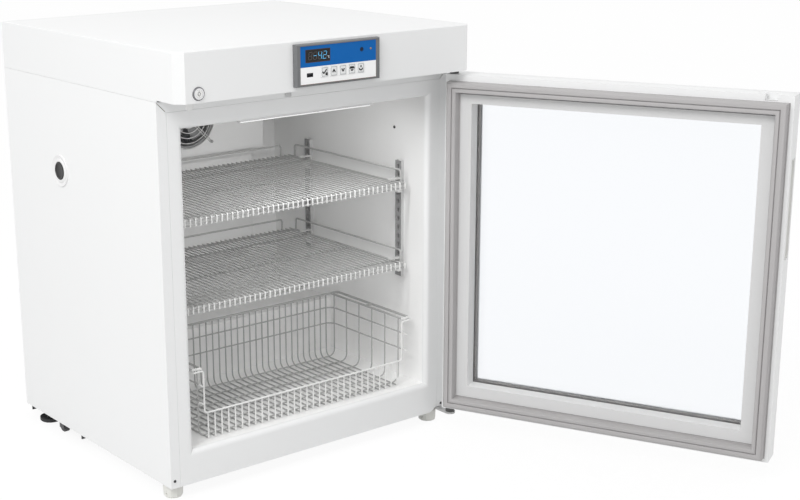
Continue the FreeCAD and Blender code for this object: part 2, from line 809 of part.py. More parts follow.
def shelf_clips():
    """Eight clips, four under each shelf."""
    clips = []
    for level in shelf_levels:
        for y in (upright_rear_y - 8, upright_front_y - 4):
            clips += [shelf_clip(side, y, level) for side in (-1, 1)]
    return Part.makeCompound(clips)


def wire_shelf(level):
    """Wire shelf: deck wires that bend down into a front comb, on a frame with three guards.

    The deck wires lie on z = level; the heavier frame wires lie under them.
    """
    half = shelf_width / 2
    fw = frame_wire
    under = (level - fw, level)
    shapes = []
    count = int((shelf_width - 2 * fw) / deck_pitch / 2)
    lip_low = level + deck_wire - lip_drop
    for index in range(-count, count + 1):
        path = [(shelf_rear, level + deck_wire / 2), (shelf_front, level + deck_wire / 2), (shelf_front, lip_low)]
        shapes.append(flat_wire(path, "yz", index * deck_pitch, deck_wire))
    rail_y = (shelf_front + deck_wire / 2, shelf_front + deck_wire / 2 + 3.5)
    rails = [block((-half, half), rail_y, (level - 3.5, level)),
             block((-half, half), rail_y, (lip_low, lip_low + 3.0)),
             block((-half + 5, half - 5), (shelf_rear - fw, shelf_rear), under)]
    ends = []
    edge = half - 5.0
    for side in (-1, 1):
        x = tuple(sorted((side * (edge - fw / 2), side * (edge + fw / 2))))
        ends.append(block(x, (rail_y[0], shelf_rear), under))
        x = tuple(sorted((side * (half - 3), side * half)))
        ends.append(block(x, rail_y, (lip_low, level)))
    cross = []
    for y in shelf_cross_y:
        cross.append(block((-edge, edge), (y - 2, y + 2), (level - 4.2, level - 0.2)))
    guards = []
    top = level + guard_height
    for side in (-1, 1):
        path = rounded_path([(side_guard_rear, level - 1), (side_guard_rear, top), (side_guard_front, top),
                             (side_guard_front, level - 1)], 6.0, 1)
        guards.append(flat_wire(path, "yz", side * edge, 4.0))
    path = rounded_path([(-rear_guard_half, level - 1), (-rear_guard_half, top), (rear_guard_half, top),
                         (rear_guard_half, level - 1)], 6.0, 1)
    guards.append(flat_wire(path, "xz", shelf_rear - fw / 2, 4.0))
    return fused(shapes + rails + ends + cross + guards)


def basket():
    """Wire basket with a low front: upright wires bend under it, rows and a rim tie them."""
    w = basket_wire
    rim = basket_rim_height
    low = basket_low + w / 2
    gap = 0.2
    shapes = []
    count = int((basket_floor_half - basket_bend) / basket_pitch)
    for index in range(-count, count + 1):
        path = rounded_path([(basket_rear, rim), (basket_rear, low), (basket_front, low),
                             (basket_front, basket_front_height)], basket_bend, 1)
        shapes.append(flat_wire(path, "yz", index * basket_pitch, w))
    side = basket_floor_half
    side_count = int((basket_rear - basket_front) / basket_side_pitch) + 1
    for index in range(side_count):
        y = basket_rear - 12 - index * basket_side_pitch
        path = rounded_path([(-side, rim), (-side, low + w + gap), (side, low + w + gap), (side, rim)], basket_bend, 1)
        shapes.append(flat_wire(path, "xz", y, w))
    rw = basket_rim_wire
    outer = basket_rim_half
    rear = basket_rear + rw / 2
    front = basket_front + rw / 2
    for half in (side, outer):
        for sign in (-1, 1):
            x = tuple(sorted((sign * (half - rw / 2), sign * (half + rw / 2))))
            shapes.append(block(x, (front - rw, rear), (rim - rw, rim)))
    shapes.append(block((-outer, outer), (rear - rw, rear), (rim - rw, rim)))
    for sign in (-1, 1):
        x = tuple(sorted((sign * side, sign * outer)))
        shapes.append(block(x, (front - rw, front), (rim - rw, rim)))
        shapes.append(block(x, ((front + rear) / 2 - rw / 2, (front + rear) / 2 + rw / 2), (rim - rw, rim)))
    back = basket_rear + w / 2 + gap
    for height in basket_rows:
        shapes.append(block((-side - 3 * w / 2, side + 3 * w / 2), (back, back + w), (height, height + w)))
        for sign in (-1, 1):
            x = tuple(sorted((sign * (side + w / 2), sign * (side + 3 * w / 2))))
            shapes.append(block(x, (basket_front - 6, back + w), (height, height + w)))
    path = rounded_path([(-side, rim), (-side, basket_front_height), (side, basket_front_height), (side, rim)], 8.0, 1)
    shapes.append(flat_wire(path, "xz", basket_front - w / 2, 4.0))
    return fused(shapes)


def light_bar():
    """Aluminium carrier of the light strip, screwed under the ceiling behind the front lip."""
    y = (light_y - light_width / 2, light_y + light_width / 2)
    bar = block((-light_half, light_half), y, (ceiling_height - light_depth, ceiling_height))
    groove = block((-light_half + 3, light_half - 3), (y[0] + 2, y[1] - 2),
                   (ceiling_height - light_depth - 1, ceiling_height - 2))
    return bar.cut(groove)


def light_lens():
    """Diffuser of the light strip."""
    y = (light_y - light_width / 2 + 2, light_y + light_width / 2 - 2)
    return block((-light_half + 3, light_half - 3), y, (ceiling_height - light_depth - 1, ceiling_height - 2))


def port_sleeve():
    """Sleeve of the access port, through the left wall, with a rounded outer flange."""
    outside = -half_width
    inside = -inner_half
    bore = port_bore_radius
    place = (port_y, port_z)
    tube_radius = bore + port_tube_wall
    sleeve = rod("x", place, tube_radius, outside, inside, 24)
    flange = turned("x", place, [(port_flange_radius - 3, outside - port_flange),
                                 (port_flange_radius - 0.8, outside - port_flange + 1.2),
                                 (port_flange_radius, outside)], 24)
    return fused([flange, sleeve]).cut(rod("x", place, bore, outside - port_flange - 1, inside + 1))


def port_plug():
    """Soft plug of the access port, with a shallow dish in its outer end."""
    radius = port_bore_radius - running_clearance
    outside = -half_width - port_flange
    plug = rod("x", (port_y, port_z), radius, outside - 1, -inner_half)
    dish = rod("x", (port_y, port_z), radius - 4, outside - 2, outside + 2, 16)
    return plug.cut(dish)


def top_cap():
    """Moulded cap over the cabinet and the door, with a slot in its underside for the lock tongue."""
    c = cap_chamfer
    back = cabinet_back

    def outline(inset):
        h = half_width - inset
        f = cap_front + inset
        d = c - inset * 0.5858
        return [(-h, f + d), (-h + d, f), (h - d, f), (h, f + d), (h, back - inset), (-h, back - inset)]
    low = cabinet_top + seam
    cap = extruded(outline(0), "xy", low, cap_top - low)
    hollow = extruded(outline(cap_wall), "xy", low - 1, cap_top - cap_wall - low + 1)
    cap = cap.cut(hollow)
    step = block((-half_width - 1, half_width + 1), (cap_front - 1, cabinet_front), (low - 1, cap_underside_height))
    cap = cap.cut(step)
    front = cap_front + cap_wall
    floor = extruded(outline(cap_wall), "xy", cap_underside_height, 2.0)
    floor = floor.common(block((-half_width, half_width), (front, cabinet_front), (low, cap_top)))
    slot = block((lock_x - cam_width / 2 - 2, lock_x + cam_width / 2 + 12),
                 (cam_y - cam_clearance, cam_y + cam_clearance), (cap_underside_height - 1, cap_underside_height + 3))
    cap = fused([cap, floor.cut(slot)])
    top_edges = [e for e in cap.Edges if e.BoundBox.ZMin > cap_top - 0.01]
    cap = cap.makeFillet(1.5, top_edges)
    lock = rod("y", (lock_x, lock_z), lock_radius, cap_front - 1, cap_front + cap_wall + 1, 16)
    cable = rod("y", (0, panel_high - 20), 8.0, cap_front - 1, cap_front + cap_wall + 1, 12)
    return cap.cut([lock, cable])


def control_bezel():
    """Grey surround of the control panel, tapered and with clipped corners, open at the front."""
    half = panel_width / 2

    def outline(inset):
        w, lo, hi, c = half - inset, panel_low + inset, panel_high - inset, panel_chamfer
        return [(-w + c, lo), (w - c, lo), (w, lo + c), (w, hi - c), (w - c, hi), (-w + c, hi), (-w, hi - c),
                (-w, lo + c)]
    wires = []
    for inset, y in ((0.0, cap_front), (panel_draft, cap_front - panel_depth)):
        corners = [V(a, y, b) for a, b in outline(inset)]
        wires.append(Part.makePolygon(corners + corners[:1]))
    body = Part.makeLoft(wires, True, True)
    front = cap_front - panel_depth
    well = block((-label_width / 2, label_width / 2), (front - 1, cap_front - 2), (label_low, label_high))
    cable = rod("y", (0, panel_high - 20), 8.0, cap_front - 3, cap_front + 1, 12)
    return body.cut([well, cable])


def label_y():
    """Front and back of the label plate."""
    front = cap_front - panel_depth + label_recess
    return front, front + label_thickness


def key_box(index, margin=0.0):
    """Outline of a key, as x and z ranges."""
    x = key_first_x + index * key_pitch
    w, h = key_width / 2 + margin, key_height / 2 + margin
    return (x - w, x + w), (key_z - h, key_z + h)


def control_label():
    """Front plate of the panel with windows for the display, the keys and the small fittings."""
    y = label_y()
    plate = block((-label_width / 2, label_width / 2), y, (label_low, label_high))
    through = (y[0] - 1, y[1] + 1)
    cuts = [block((display_left, display_left + display_width), through,
                  (display_low, display_low + display_height))]
    for index in range(5):
        x, z = key_box(index, key_clearance)
        cuts.append(block(x, through, z))
    cuts.append(rod("y", (sounder_x, lamp_z), sounder_radius, through[0], through[1], 12))
    cuts.append(rod("y", (lamp_x, lamp_z), lamp_radius, through[0], through[1], 12))
    cuts.append(block((usb_x - usb_width / 2, usb_x + usb_width / 2), through,
                      (usb_z - usb_height / 2, usb_z + usb_height / 2)))
    return plate.cut(cuts)


def display_window():
    """Dark window with the display module behind it."""
    y = label_y()
    return block((display_left, display_left + display_width), (y[0], board_y()[0]),
                 (display_low, display_low + display_height))


def board_y():
    """Front and back of the circuit board behind the label."""
    back = label_y()[1]
    return back + 3.4, back + 5.0


def control_board():
    """Circuit board on four posts, with a sprung switch behind each key and the sounder."""
    y = board_y()
    margin = 3.0
    board = block((-label_width / 2 + margin, label_width / 2 - margin), y, (label_low + margin, label_high - margin))
    shapes = [board]
    key_back = label_y()[0] - 1.0 + key_thickness
    for index in range(5):
        x = key_first_x + index * key_pitch
        shapes.append(rod("y", (x, key_z), 3.0, key_back + key_travel + 0.1, y[0], 8))
    shapes.append(rod("y", (sounder_x, lamp_z), 6.0, label_y()[1], y[0], 12))
    for x in (-1, 1):
        for z in (label_low + 8, label_high - 8):
            shapes.append(rod("y", (x * (label_width / 2 - 8), z), 3.0, y[1], cap_front - 2, 8))
    return fused(shapes)


def key_cap(index):
    """One key cap with softened front edges."""
    x, z = key_box(index)
    front = label_y()[0] - 1.0
    cap = block(x, (front, front + key_thickness), z)
    edges = [e for e in cap.Edges if e.BoundBox.YMax < front + 0.01]
    return cap.makeChamfer(0.6, edges)


def usb_socket():
    """Data socket: a metal shell with its tongue."""
    y = label_y()
    x = (usb_x - usb_width / 2, usb_x + usb_width / 2)
    z = (usb_z - usb_height / 2, usb_z + usb_height / 2)
    shell = block(x, (y[0], board_y()[0]), z)
    shell = shell.cut(block((x[0] + 0.8, x[1] - 0.8), (y[0] - 1, board_y()[0] - 1), (z[0] + 0.8, z[1] - 0.8)))
    tongue = block((x[0] + 2, x[1] - 2), (y[0] + 1, board_y()[0]), (usb_z + 0.2, usb_z + 1.8))
    return fused([shell, tongue])


def alarm_lamp():
    """Small domed lamp in the label."""
    front = label_y()[0]
    r = lamp_radius
    profile = [(r * 0.5, front - 1.2), (r * 0.87, front - 0.8), (r, front), (r, board_y()[0])]
    return turned("y", (lamp_x, lamp_z), profile, 12)


def lock_barrel():
    """Fixed barrel of the lock, with its ring on the cap's face and a nut behind the wall."""
    place = (lock_x, lock_z)
    core = lock_core_radius + running_clearance
    back = cam_y - cam_thickness / 2 - part_clearance
    front = cap_front - 2
    nut = cap_front + cap_wall
    barrel = rod("y", place, lock_radius, front, back, 16)
    ring = rod("y", place, lock_ring_radius, front, cap_front, 24)
    shapes = [ring, barrel, rod("y", place, lock_radius + 3, nut, nut + 5, 6)]
    return fused(shapes).cut(rod("y", place, core, front - 1, back + 1))


def lock_core():
    """Turning core of the lock with its square key hole, and the tongue on its inner end."""
    place = (lock_x, lock_z)
    back = cam_y + cam_thickness / 2
    core = rod("y", place, lock_core_radius, cap_front - 2.6, back)
    slot = rod("y", place, 2.5, cap_front - 4, cap_front + 6, 4)
    y = (cam_y - cam_thickness / 2, back)
    r = cam_width / 2
    tongue = [block((lock_x - r, lock_x + r), y, (lock_z - cam_reach + r, lock_z)),
              rod("y", (lock_x, lock_z - cam_reach + r), facet_radius(r), y[0], y[1], 24),
              rod("y", place, facet_radius(r), y[0], y[1], 24)]
    screw = rod("y", place, 3.5, back, back + 2.5, 6)
    return fused([core.cut(slot)] + tongue + [screw])


def hinge_arm(x, back, z):
    """Flat hinge arm from the cabinet to a rounded end round the pin."""
    arm = block(x, (door_hinge_y, back), z)
    return fused([arm, rod("z", (door_hinge_x, door_hinge_y), hinge_nose_radius, z[0], z[1], 24)])


def top_hinge_bracket():
    """Hinge plate that lies on the cabinet's top under the cap, with its pin pointing down."""
    z = (cabinet_top, cabinet_top + hinge_plate)
    plate = hinge_arm((lower_arm_x[0], half_width - cap_wall - 0.5), cabinet_front + 60, z)
    pin = rod("z", (door_hinge_x, door_hinge_y), pin_radius, door_top - pin_length, z[1])
    return fused([plate, pin])


def bottom_hinge_bracket():
    """Arm that comes out of the cabinet below the door and carries the lower pin."""
    z = (lower_arm_low, lower_arm_high)
    arm = hinge_arm(lower_arm_x, lower_arm_back, z)
    foot = block(lower_arm_x, (cabinet_front + lip_radius + liner_sheet, lower_arm_back),
                 (cabinet_bottom + sheet, z[1]))
    pin = rod("z", (door_hinge_x, door_hinge_y), pin_radius, z[0], door_bottom + pin_length)
    return fused([arm, foot, pin])


def shell_screws():
    """Screws that show on the outside and inside of the cabinet."""
    screws = []
    for side in (-1, 1):
        place = (side * (half_width - flange_width * 0.4), cabinet_bottom + 14)
        profile = [(2.2, cabinet_front - 1.2), (3.0, cabinet_front), (1.8, cabinet_front),
                   (1.8, cabinet_front + sheet)]
        head = turned("y", place, profile[:2], 8)
        screws.append(fused([head, turned("y", place, profile[2:], 8)]))
        x = side * inner_half
        low, high = sorted((x, x - side * 1.2))
        screws.append(rod("x", (-162.0, ceiling_height - 71.5), 3.0, low, high, 8))
        for z in (-grille_screw, grille_screw):
            front = cover_front - 2 * grille_wire
            screws.append(rod("y", (side * grille_screw, fan_z + z), 3.0, front - 1.5, front, 8))
    return Part.makeCompound(screws)


def door_sensor():
    """Small door sensor on the return above the opening."""
    z = cabinet_top - 14.5
    return block((-60, -47), (cabinet_front - 1.5, cabinet_front), (z - 3, z + 3))


def door_front_frame():
    """Outer frame of the door: a bar all round, a lip over the glass and seats for the rest."""
    x = (-half_width, half_width)
    z = (door_bottom, door_top)
    back, front = door_inner, cap_front
    bar = border(x, z, frame_bar, (front, back))
    cover = window_inset + glass_cover
    lip = border(x, z, cover, (front, front + front_lip))
    frame = fused([bar, lip])
    edges = []
    for edge in frame.Edges:
        box = edge.BoundBox
        on_front = box.YMax < front + 0.01
        at_edge = (abs(box.XMin) > half_width - 0.01 and abs(box.XMax) > half_width - 0.01
                   and box.XLength < 0.01)
        at_end = box.ZLength < 0.01 and (box.ZMin < door_bottom + 0.01 or box.ZMax > door_top - 0.01)
        upright_corner = box.XLength < 0.01 and box.YLength > 40 and (at_edge and box.ZLength < 0.01)
        if (on_front and (at_edge or at_end)) or upright_corner:
            edges.append(edge)
    frame = frame.makeFillet(door_edge_radius, edges)
    cuts = [gasket_seat(), grip_shape(0.0)]
    place = (door_hinge_x, door_hinge_y)
    cuts.append(rod("z", place, bush_radius, door_top - pin_length - 1, door_top + 1, 12))
    cuts.append(rod("z", place, bush_radius, door_bottom - 1, door_bottom + pin_length + 1, 12))
    notch_low = lock_z - cam_reach - cam_clearance
    cuts.append(block((lock_x - cam_width / 2 - cam_clearance, lock_x + cam_width / 2 + cam_clearance),
                      (cam_y - cam_clearance, back + 1), (notch_low, door_top + 1)))
    cuts.append(block((lock_x, lock_x + cam_width / 2 + cam_clearance + 16),
                      (cam_y - cam_clearance, cam_y + cam_clearance), (notch_low, door_top + 1)))
    return frame.cut(cuts)


def door_inner_frame():
    """Inner moulding of the door, which holds the glass and forms the white reveal."""
    inset = frame_bar
    x = (-half_width + inset, half_width - inset)
    z = (door_bottom + inset, door_top - inset)
    y = (door_inner - reveal_depth, door_inner)
    return border(x, z, window_inset - inset, y).cut(gasket_seat())


def gasket_outline():
    """Outer edge of the gasket, as x and z ranges."""
    inset = gasket_inner_inset - gasket_width
    return (-half_width + inset, half_width - inset), (door_bottom + inset, door_top - gasket_top_inset + gasket_width)


def gasket_seat():
    """The recess round the door's inner face that takes the gasket's foot."""
    x, z = gasket_outline()
    return border(x, z, gasket_width, (door_inner - gasket_seat_depth, door_inner + 1))


def gasket():
    """Magnetic door seal: a foot in the frame's recess and a bellows with a groove round it."""
    x, z = gasket_outline()
    face = cabinet_front - part_clearance
    body = border(x, z, gasket_width, (door_inner - gasket_seat_depth, face))
    inset = 12.5
    groove = border((x[0] + inset, x[1] - inset), (z[0] + inset, z[1] - inset), 2.0, (face - 5, face + 1))
    waist = border(x, z, 1.5, (door_inner + 3, door_inner + 7))
    return body.cut([groove, waist])


def glass_half(inset):
    """Half width and z range of a pane that is set in by a distance."""
    return half_width - inset, (door_bottom + inset, door_top - inset)


def glass_panes():
    """The two panes, the outer one behind the frame's lip and the inner one on the inner moulding."""
    half, z = glass_half(frame_bar)
    front = cap_front + front_lip
    back = door_inner - reveal_depth
    return Part.makeCompound([block((-half, half), (front, front + pane), z),
                              block((-half, half), (back - pane, back), z)])


def glass_spacer():
    """Spacer between the panes."""
    inset = window_inset + glass_cover - spacer_width
    half, z = glass_half(inset)
    y = (cap_front + front_lip + pane, door_inner - reveal_depth - pane)
    return border((-half, half), z, spacer_width, y)


def grip_shape(wall):
    """The finger recess in the free edge, less a wall all round."""
    y_back = door_inner - grip_from_inner_face
    y = (y_back - grip_width + wall, y_back - wall)
    r = (y[1] - y[0]) / 2
    z = (grip_low + wall, grip_low + grip_length - wall)
    x = (-half_width - 1, -half_width + grip_depth - wall)
    middle = (y[0] + y[1]) / 2
    shapes = [block(x, y, (z[0] + r, z[1] - r))]
    for end in (z[0] + r, z[1] - r):
        shapes.append(rod("x", (middle, end), facet_radius(r), x[0], x[1], 24))
    return fused(shapes)


def door_grip():
    """Moulded cup that lines the finger recess."""
    cup = grip_shape(0.0).cut(grip_shape(grip_wall))
    return cup.common(block((-half_width, 0), (cap_front, door_inner), (door_bottom, door_top)))


def hinge_bushes():
    """Bushes of the two hinge pins, each with a flange outside the door."""
    place = (door_hinge_x, door_hinge_y)
    bore = pin_radius + running_clearance
    top_gap = cabinet_top - door_top - part_clearance
    low_gap = door_bottom - lower_arm_high - part_clearance
    bushes = []
    for low, high, flange in ((door_top - pin_length, door_top, (door_top, door_top + top_gap)),
                              (door_bottom, door_bottom + pin_length, (door_bottom - low_gap, door_bottom))):
        sleeve = rod("z", place, bush_radius, low, high, 12)
        collar = rod("z", place, bush_flange_radius, flange[0], flange[1], 12)
        bushes.append(fused([sleeve, collar]).cut(rod("z", place, bore, low - pin_length, high + pin_length)))
    return Part.makeCompound(bushes)


def front_foot(side):
    """Levelling foot: an eight-sided pad with a chamfered base and a bar hole, on its stud."""
    place = (side * front_foot_x, front_foot_y)
    profile = [(front_foot_radius - 4, 0), (front_foot_radius, 3), (front_foot_radius, front_foot_body)]
    pad = turned("z", place, profile, 8)
    reach = front_foot_radius + 3
    hole = rod("x", (front_foot_y, front_foot_body - 11), 2.2, place[0] - reach, place[0] + reach, 8)
    stud = rod("z", place, foot_stud_radius, front_foot_body - 1, cabinet_bottom + sheet + 30)
    return fused([pad.cut(hole), stud])


def rear_feet():
    """Two rear feet: a round pad on a stud through the tray."""
    feet = []
    for side in (-1, 1):
        place = (side * rear_foot_x, rear_foot_y)
        r = rear_foot_radius
        pad = turned("z", place, [(r - 2, 0), (r, 2), (r, rear_foot_body)], 16)
        neck = rod("z", place, 12.0, rear_foot_body - 1, tray_top - tray_sheet, 6)
        stud = rod("z", place, foot_stud_radius, rear_foot_body, tray_top + 8, 12)
        feet.append(fused([pad, neck, stud]))
    return Part.makeCompound(feet)


def evaporator_fan_wheel():
    """Wheel of the evaporator fan."""
    y0 = cover_front + cover_sheet + 2
    return fan_rotor(0.0, fan_z, fan_blade_radius, (y0, y0 + 18))


def condenser_fan_wheel():
    """Wheel of the condenser fan."""
    x, z = condenser_fan_place()
    return fan_rotor(x, z, 55.0, (168.5, 181.5))


pieces = {
    "outer_shell": outer_shell(),
    "back_panel": back_panel(),
    "base_panel": base_panel(),
    "front_frame": front_frame(),
    "insulation": insulation(),
    "inner_liner": inner_liner(),
    "compressor_tray": compressor_tray(),
    "compressor": compressor(),
    "compressor_mounts": compressor_mounts(),
    "condenser": condenser(),
    "condenser_fan_wheel": condenser_fan_wheel(),
    "drain_pan": drain_pan(),
    "rear_cover": rear_cover(),
    "power_inlet": power_inlet(),
    "evaporator": evaporator(),
    "refrigerant_pipes": refrigerant_pipes(),
    "temperature_probe": temperature_probe(),
    "evaporator_cover": evaporator_cover(),
    "evaporator_fan_frame": evaporator_fan_frame(),
    "evaporator_fan_wheel": evaporator_fan_wheel(),
    "fan_grille": fan_grille(),
    "uprights": uprights(),
    "shelf_clips": shelf_clips(),
    "shelf_upper": wire_shelf(shelf_levels[0]),
    "shelf_lower": wire_shelf(shelf_levels[1]),
    "basket": basket(),
    "light_bar": light_bar(),
    "light_lens": light_lens(),
    "port_sleeve": port_sleeve(),
    "port_plug": port_plug(),
    "top_cap": top_cap(),
    "control_bezel": control_bezel(),
    "control_label": control_label(),
    "display_window": display_window(),
    "control_board": control_board(),
    "usb_socket": usb_socket(),
    "alarm_lamp": alarm_lamp(),
    "lock_barrel": lock_barrel(),
    "lock_core": lock_core(),
    "top_hinge_bracket": top_hinge_bracket(),
    "bottom_hinge_bracket": bottom_hinge_bracket(),
    "shell_screws": shell_screws(),
    "door_sensor": door_sensor(),
    "rear_feet": rear_feet(),
    "front_foot_left": front_foot(-1),
    "front_foot_right": front_foot(1),
    "roller_left": transport_roller(-1),
    "roller_right": transport_roller(1),
}
for number, name in enumerate(("set", "up", "down", "mute", "light")):
    pieces["key_" + name] = key_cap(number)

door_pieces = {
    "door_outer_frame": door_front_frame(),
    "door_inner_frame": door_inner_frame(),
    "door_gasket": gasket(),
    "glass_panes": glass_panes(),
    "glass_spacer": glass_spacer(),
    "door_grip": door_grip(),
    "hinge_bushes": hinge_bushes(),
}
for name, shape in door_pieces.items():
    shape.rotate(V(door_hinge_x, door_hinge_y, 0), V(0, 0, 1), door_open_angle)
    pieces[name] = shape

os.makedirs("parts", exist_ok=True)
for name, shape in pieces.items():
    shape.exportStep("parts/" + name + ".step")
print(len(pieces), "pieces")
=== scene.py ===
"""Looks of an under-counter pharmacy refrigerator whose glazed door stands open.

Sizes are in metres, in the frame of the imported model: the floor is z = 0 and the front faces -Y.
"""
import math

import bpy
from mathutils import Matrix, Vector


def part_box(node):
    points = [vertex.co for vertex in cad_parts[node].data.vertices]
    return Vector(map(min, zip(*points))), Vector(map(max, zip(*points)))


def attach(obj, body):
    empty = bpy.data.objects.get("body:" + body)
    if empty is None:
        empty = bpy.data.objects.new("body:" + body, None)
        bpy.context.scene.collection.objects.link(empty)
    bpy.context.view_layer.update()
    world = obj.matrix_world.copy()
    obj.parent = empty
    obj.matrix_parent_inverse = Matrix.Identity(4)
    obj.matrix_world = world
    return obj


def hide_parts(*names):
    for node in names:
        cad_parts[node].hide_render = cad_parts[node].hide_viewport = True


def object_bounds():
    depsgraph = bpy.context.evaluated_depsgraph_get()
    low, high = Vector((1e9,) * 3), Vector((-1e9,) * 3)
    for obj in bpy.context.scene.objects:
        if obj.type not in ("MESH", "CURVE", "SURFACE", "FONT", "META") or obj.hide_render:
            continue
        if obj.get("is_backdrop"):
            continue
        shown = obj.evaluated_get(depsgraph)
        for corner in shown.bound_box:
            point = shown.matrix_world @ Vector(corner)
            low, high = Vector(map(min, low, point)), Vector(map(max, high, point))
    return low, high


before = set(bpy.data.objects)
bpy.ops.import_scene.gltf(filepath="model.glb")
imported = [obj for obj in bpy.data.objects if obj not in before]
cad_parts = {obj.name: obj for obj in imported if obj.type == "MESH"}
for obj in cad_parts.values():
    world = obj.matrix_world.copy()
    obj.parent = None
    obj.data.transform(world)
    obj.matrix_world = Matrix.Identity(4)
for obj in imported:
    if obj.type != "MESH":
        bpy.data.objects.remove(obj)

bl_info = {
    "name": "Pharmacy Refrigerator",
    "version": (1, 0, 0),
    "blender": (4, 5, 0),
    "location": "View3D > Sidebar > Refrigerator",
    "description": "Dresses the packed refrigerator with wires, seals, controls and finishes",
    "category": "Add Mesh",
}

HINGE = (0.3132, -0.2932)
DOOR_ANGLE = math.radians(114.74)
DOOR_FACING = (math.sin(DOOR_ANGLE), -math.cos(DOOR_ANGLE))
LOCK_CENTRE = (-0.285, 0.0, 0.742)


# Finishes

class Value:
    """A socket that takes part in Python expressions; each operator adds its Math node."""

    def __init__(self, tree, socket):
        self.tree = tree
        self.socket = socket

    def maths(self, operation, first, second=0.0):
        node = self.tree.nodes.new("ShaderNodeMath")
        node.operation = operation
        for socket, value in zip(node.inputs, (first, second)):
            if isinstance(value, Value):
                self.tree.links.new(value.socket, socket)
            else:
                socket.default_value = value
        return Value(self.tree, node.outputs[0])

    def __add__(self, other):
        return self.maths("ADD", self, other)

    def __sub__(self, other):
        return self.maths("SUBTRACT", self, other)

    def __rsub__(self, other):
        return self.maths("SUBTRACT", other, self)

    def __mul__(self, other):
        return self.maths("MULTIPLY", self, other)

    def __gt__(self, other):
        return self.maths("GREATER_THAN", self, other)

    def __lt__(self, other):
        return self.maths("LESS_THAN", self, other)

    def __abs__(self):
        return self.maths("ABSOLUTE", self)


class Finish:
    """The node tree of one material."""

    def __init__(self, name):
        self.material = bpy.data.materials.new(name)
        self.material.use_nodes = True
        self.tree = self.material.node_tree
        self.tree.nodes.clear()
        self.output = self.tree.nodes.new("ShaderNodeOutputMaterial")

    def node(self, kind, settings=None, sockets=None):
        """Any node: its settings are set first, then the values or links of its sockets."""
        node = self.tree.nodes.new(kind)
        for name, value in (settings or {}).items():
            setattr(node, name, value)
        for name, value in (sockets or {}).items():
            if isinstance(value, Value):
                self.tree.links.new(value.socket, node.inputs[name])
            else:
                node.inputs[name].default_value = value
        return node

    def value(self, output, kind, settings=None, sockets=None):
        return Value(self.tree, self.node(kind, settings, sockets).outputs[output])

    def place(self):
        return self.value("Object", "ShaderNodeTexCoord")

    def axes(self, output="Object"):
        """The three object coordinates, or the parts of the normal."""
        vector = self.value(output, "ShaderNodeTexCoord")
        node = self.node("ShaderNodeSeparateXYZ", None, {"Vector": vector})
        return [Value(self.tree, node.outputs[name]) for name in "XYZ"]

    def noise(self, scale, detail=2.0, stretch=(1.0, 1.0, 1.0)):
        """Noise round zero, from about -0.5 to 0.5."""
        vector = self.value("Vector", "ShaderNodeMapping", None, {"Vector": self.place(), "Scale": stretch})
        sockets = {"Vector": vector, "Scale": scale, "Detail": detail}
        return self.value("Fac", "ShaderNodeTexNoise", None, sockets) - 0.5

    def ramp(self, factor, low, high):
        """A smooth step from 0 to 1 between two values."""
        settings = {"interpolation_type": "SMOOTHSTEP"}
        sockets = {"Value": factor, "From Min": low, "From Max": high}
        return self.value("Result", "ShaderNodeMapRange", settings, sockets)

    def mix(self, factor, first, second):
        node = self.node("ShaderNodeMix", {"data_type": "RGBA"}, {0: factor, 6: first, 7: second})
        return Value(self.tree, node.outputs[2])

    def bump(self, height, depth):
        sockets = {"Height": height, "Distance": depth, "Strength": 1.0}
        return self.value("Normal", "ShaderNodeBump", None, sockets)

    def principled(self, sockets):
        shader = self.node("ShaderNodeBsdfPrincipled", None, sockets)
        self.tree.links.new(shader.outputs[0], self.output.inputs["Surface"])
        return self.material

    def surface(self, base, roughness, fine, depth, metallic=0.0):
        """A surface whose grain shows in its normal."""
        return self.principled({"Base Color": base, "Metallic": metallic, "Roughness": roughness,
                                "Normal": self.bump(fine, depth)})


def tone(colour, factor):
    """A colour made lighter or darker, with its alpha."""
    return tuple(min(1.0, part * factor) for part in colour[:3]) + (1.0,)


def coated(name, colour, rough=0.4, metal=0.0, grain=900.0, depth=0.00002, cloud=0.03, coat=0.0):
    """Paint, plastic or metal: a slight cloud in the colour, a fine grain and an uneven gloss."""
    finish = Finish(name)
    broad = finish.noise(9.0, 3.0)
    fine = finish.noise(grain)
    base = finish.mix(broad * 1.6 + 0.5, tone(colour, 1.0 - cloud), tone(colour, 1.0 + cloud))
    return finish.principled({
        "Base Color": base, "Metallic": metal, "Roughness": broad * 0.12 + fine * 0.08 + rough,
        "Coat Weight": coat, "Coat Roughness": 0.15, "Normal": finish.bump(fine, depth)})


def wire_finish(name, dark, light, front, width=0.0004):
    """Coated wire with painted light and shade: brighter in front of a plane y = front, as if the front edges
    caught the lamp, and darker behind it, as if shaded.
    """
    finish = Finish(name)
    y = finish.axes()[1]
    fine = finish.noise(700.0)
    painted_light_share = 1.0 - finish.ramp(y, front, front + width)
    # Painted light: the wire in front of the plane takes the lit colour, the rest takes the shaded one.
    base = finish.mix(painted_light_share, dark, light)
    return finish.surface(base, fine * 0.15 + 0.5, fine, 0.00003)


def upright_finish(settings):
    """Dark front of the slotted uprights, with painted light on the folded sides: faces turned along y are
    made lighter, as if lit.
    """
    finish = Finish("upright_steel")
    across = abs(finish.axes("Normal")[1])
    fine = finish.noise(1200.0, 2.0, (1, 1, 0.1))
    # Painted light: the folded sides, picked by their normal, take a lighter grey.
    base = finish.mix(across, settings.upright_colour, (0.62, 0.62, 0.62, 1.0))
    return finish.surface(base, fine * 0.2 + 0.42, fine, 0.00002)


def chrome_finish():
    """Painted reflection on the lock's ring: a bright face and a dark bevel, chosen by the way each surface
    faces.
    """
    finish = Finish("lock_chrome")
    painted_light_facing = abs(finish.axes("Normal")[1])
    fine = finish.noise(900.0)
    base = finish.mix(finish.ramp(painted_light_facing, 0.82, 0.97), (0.2, 0.2, 0.21, 1.0), (0.8, 0.8, 0.81, 1.0))
    return finish.surface(base, fine * 0.1 + 0.24, fine, 0.00001, metallic=0.7)


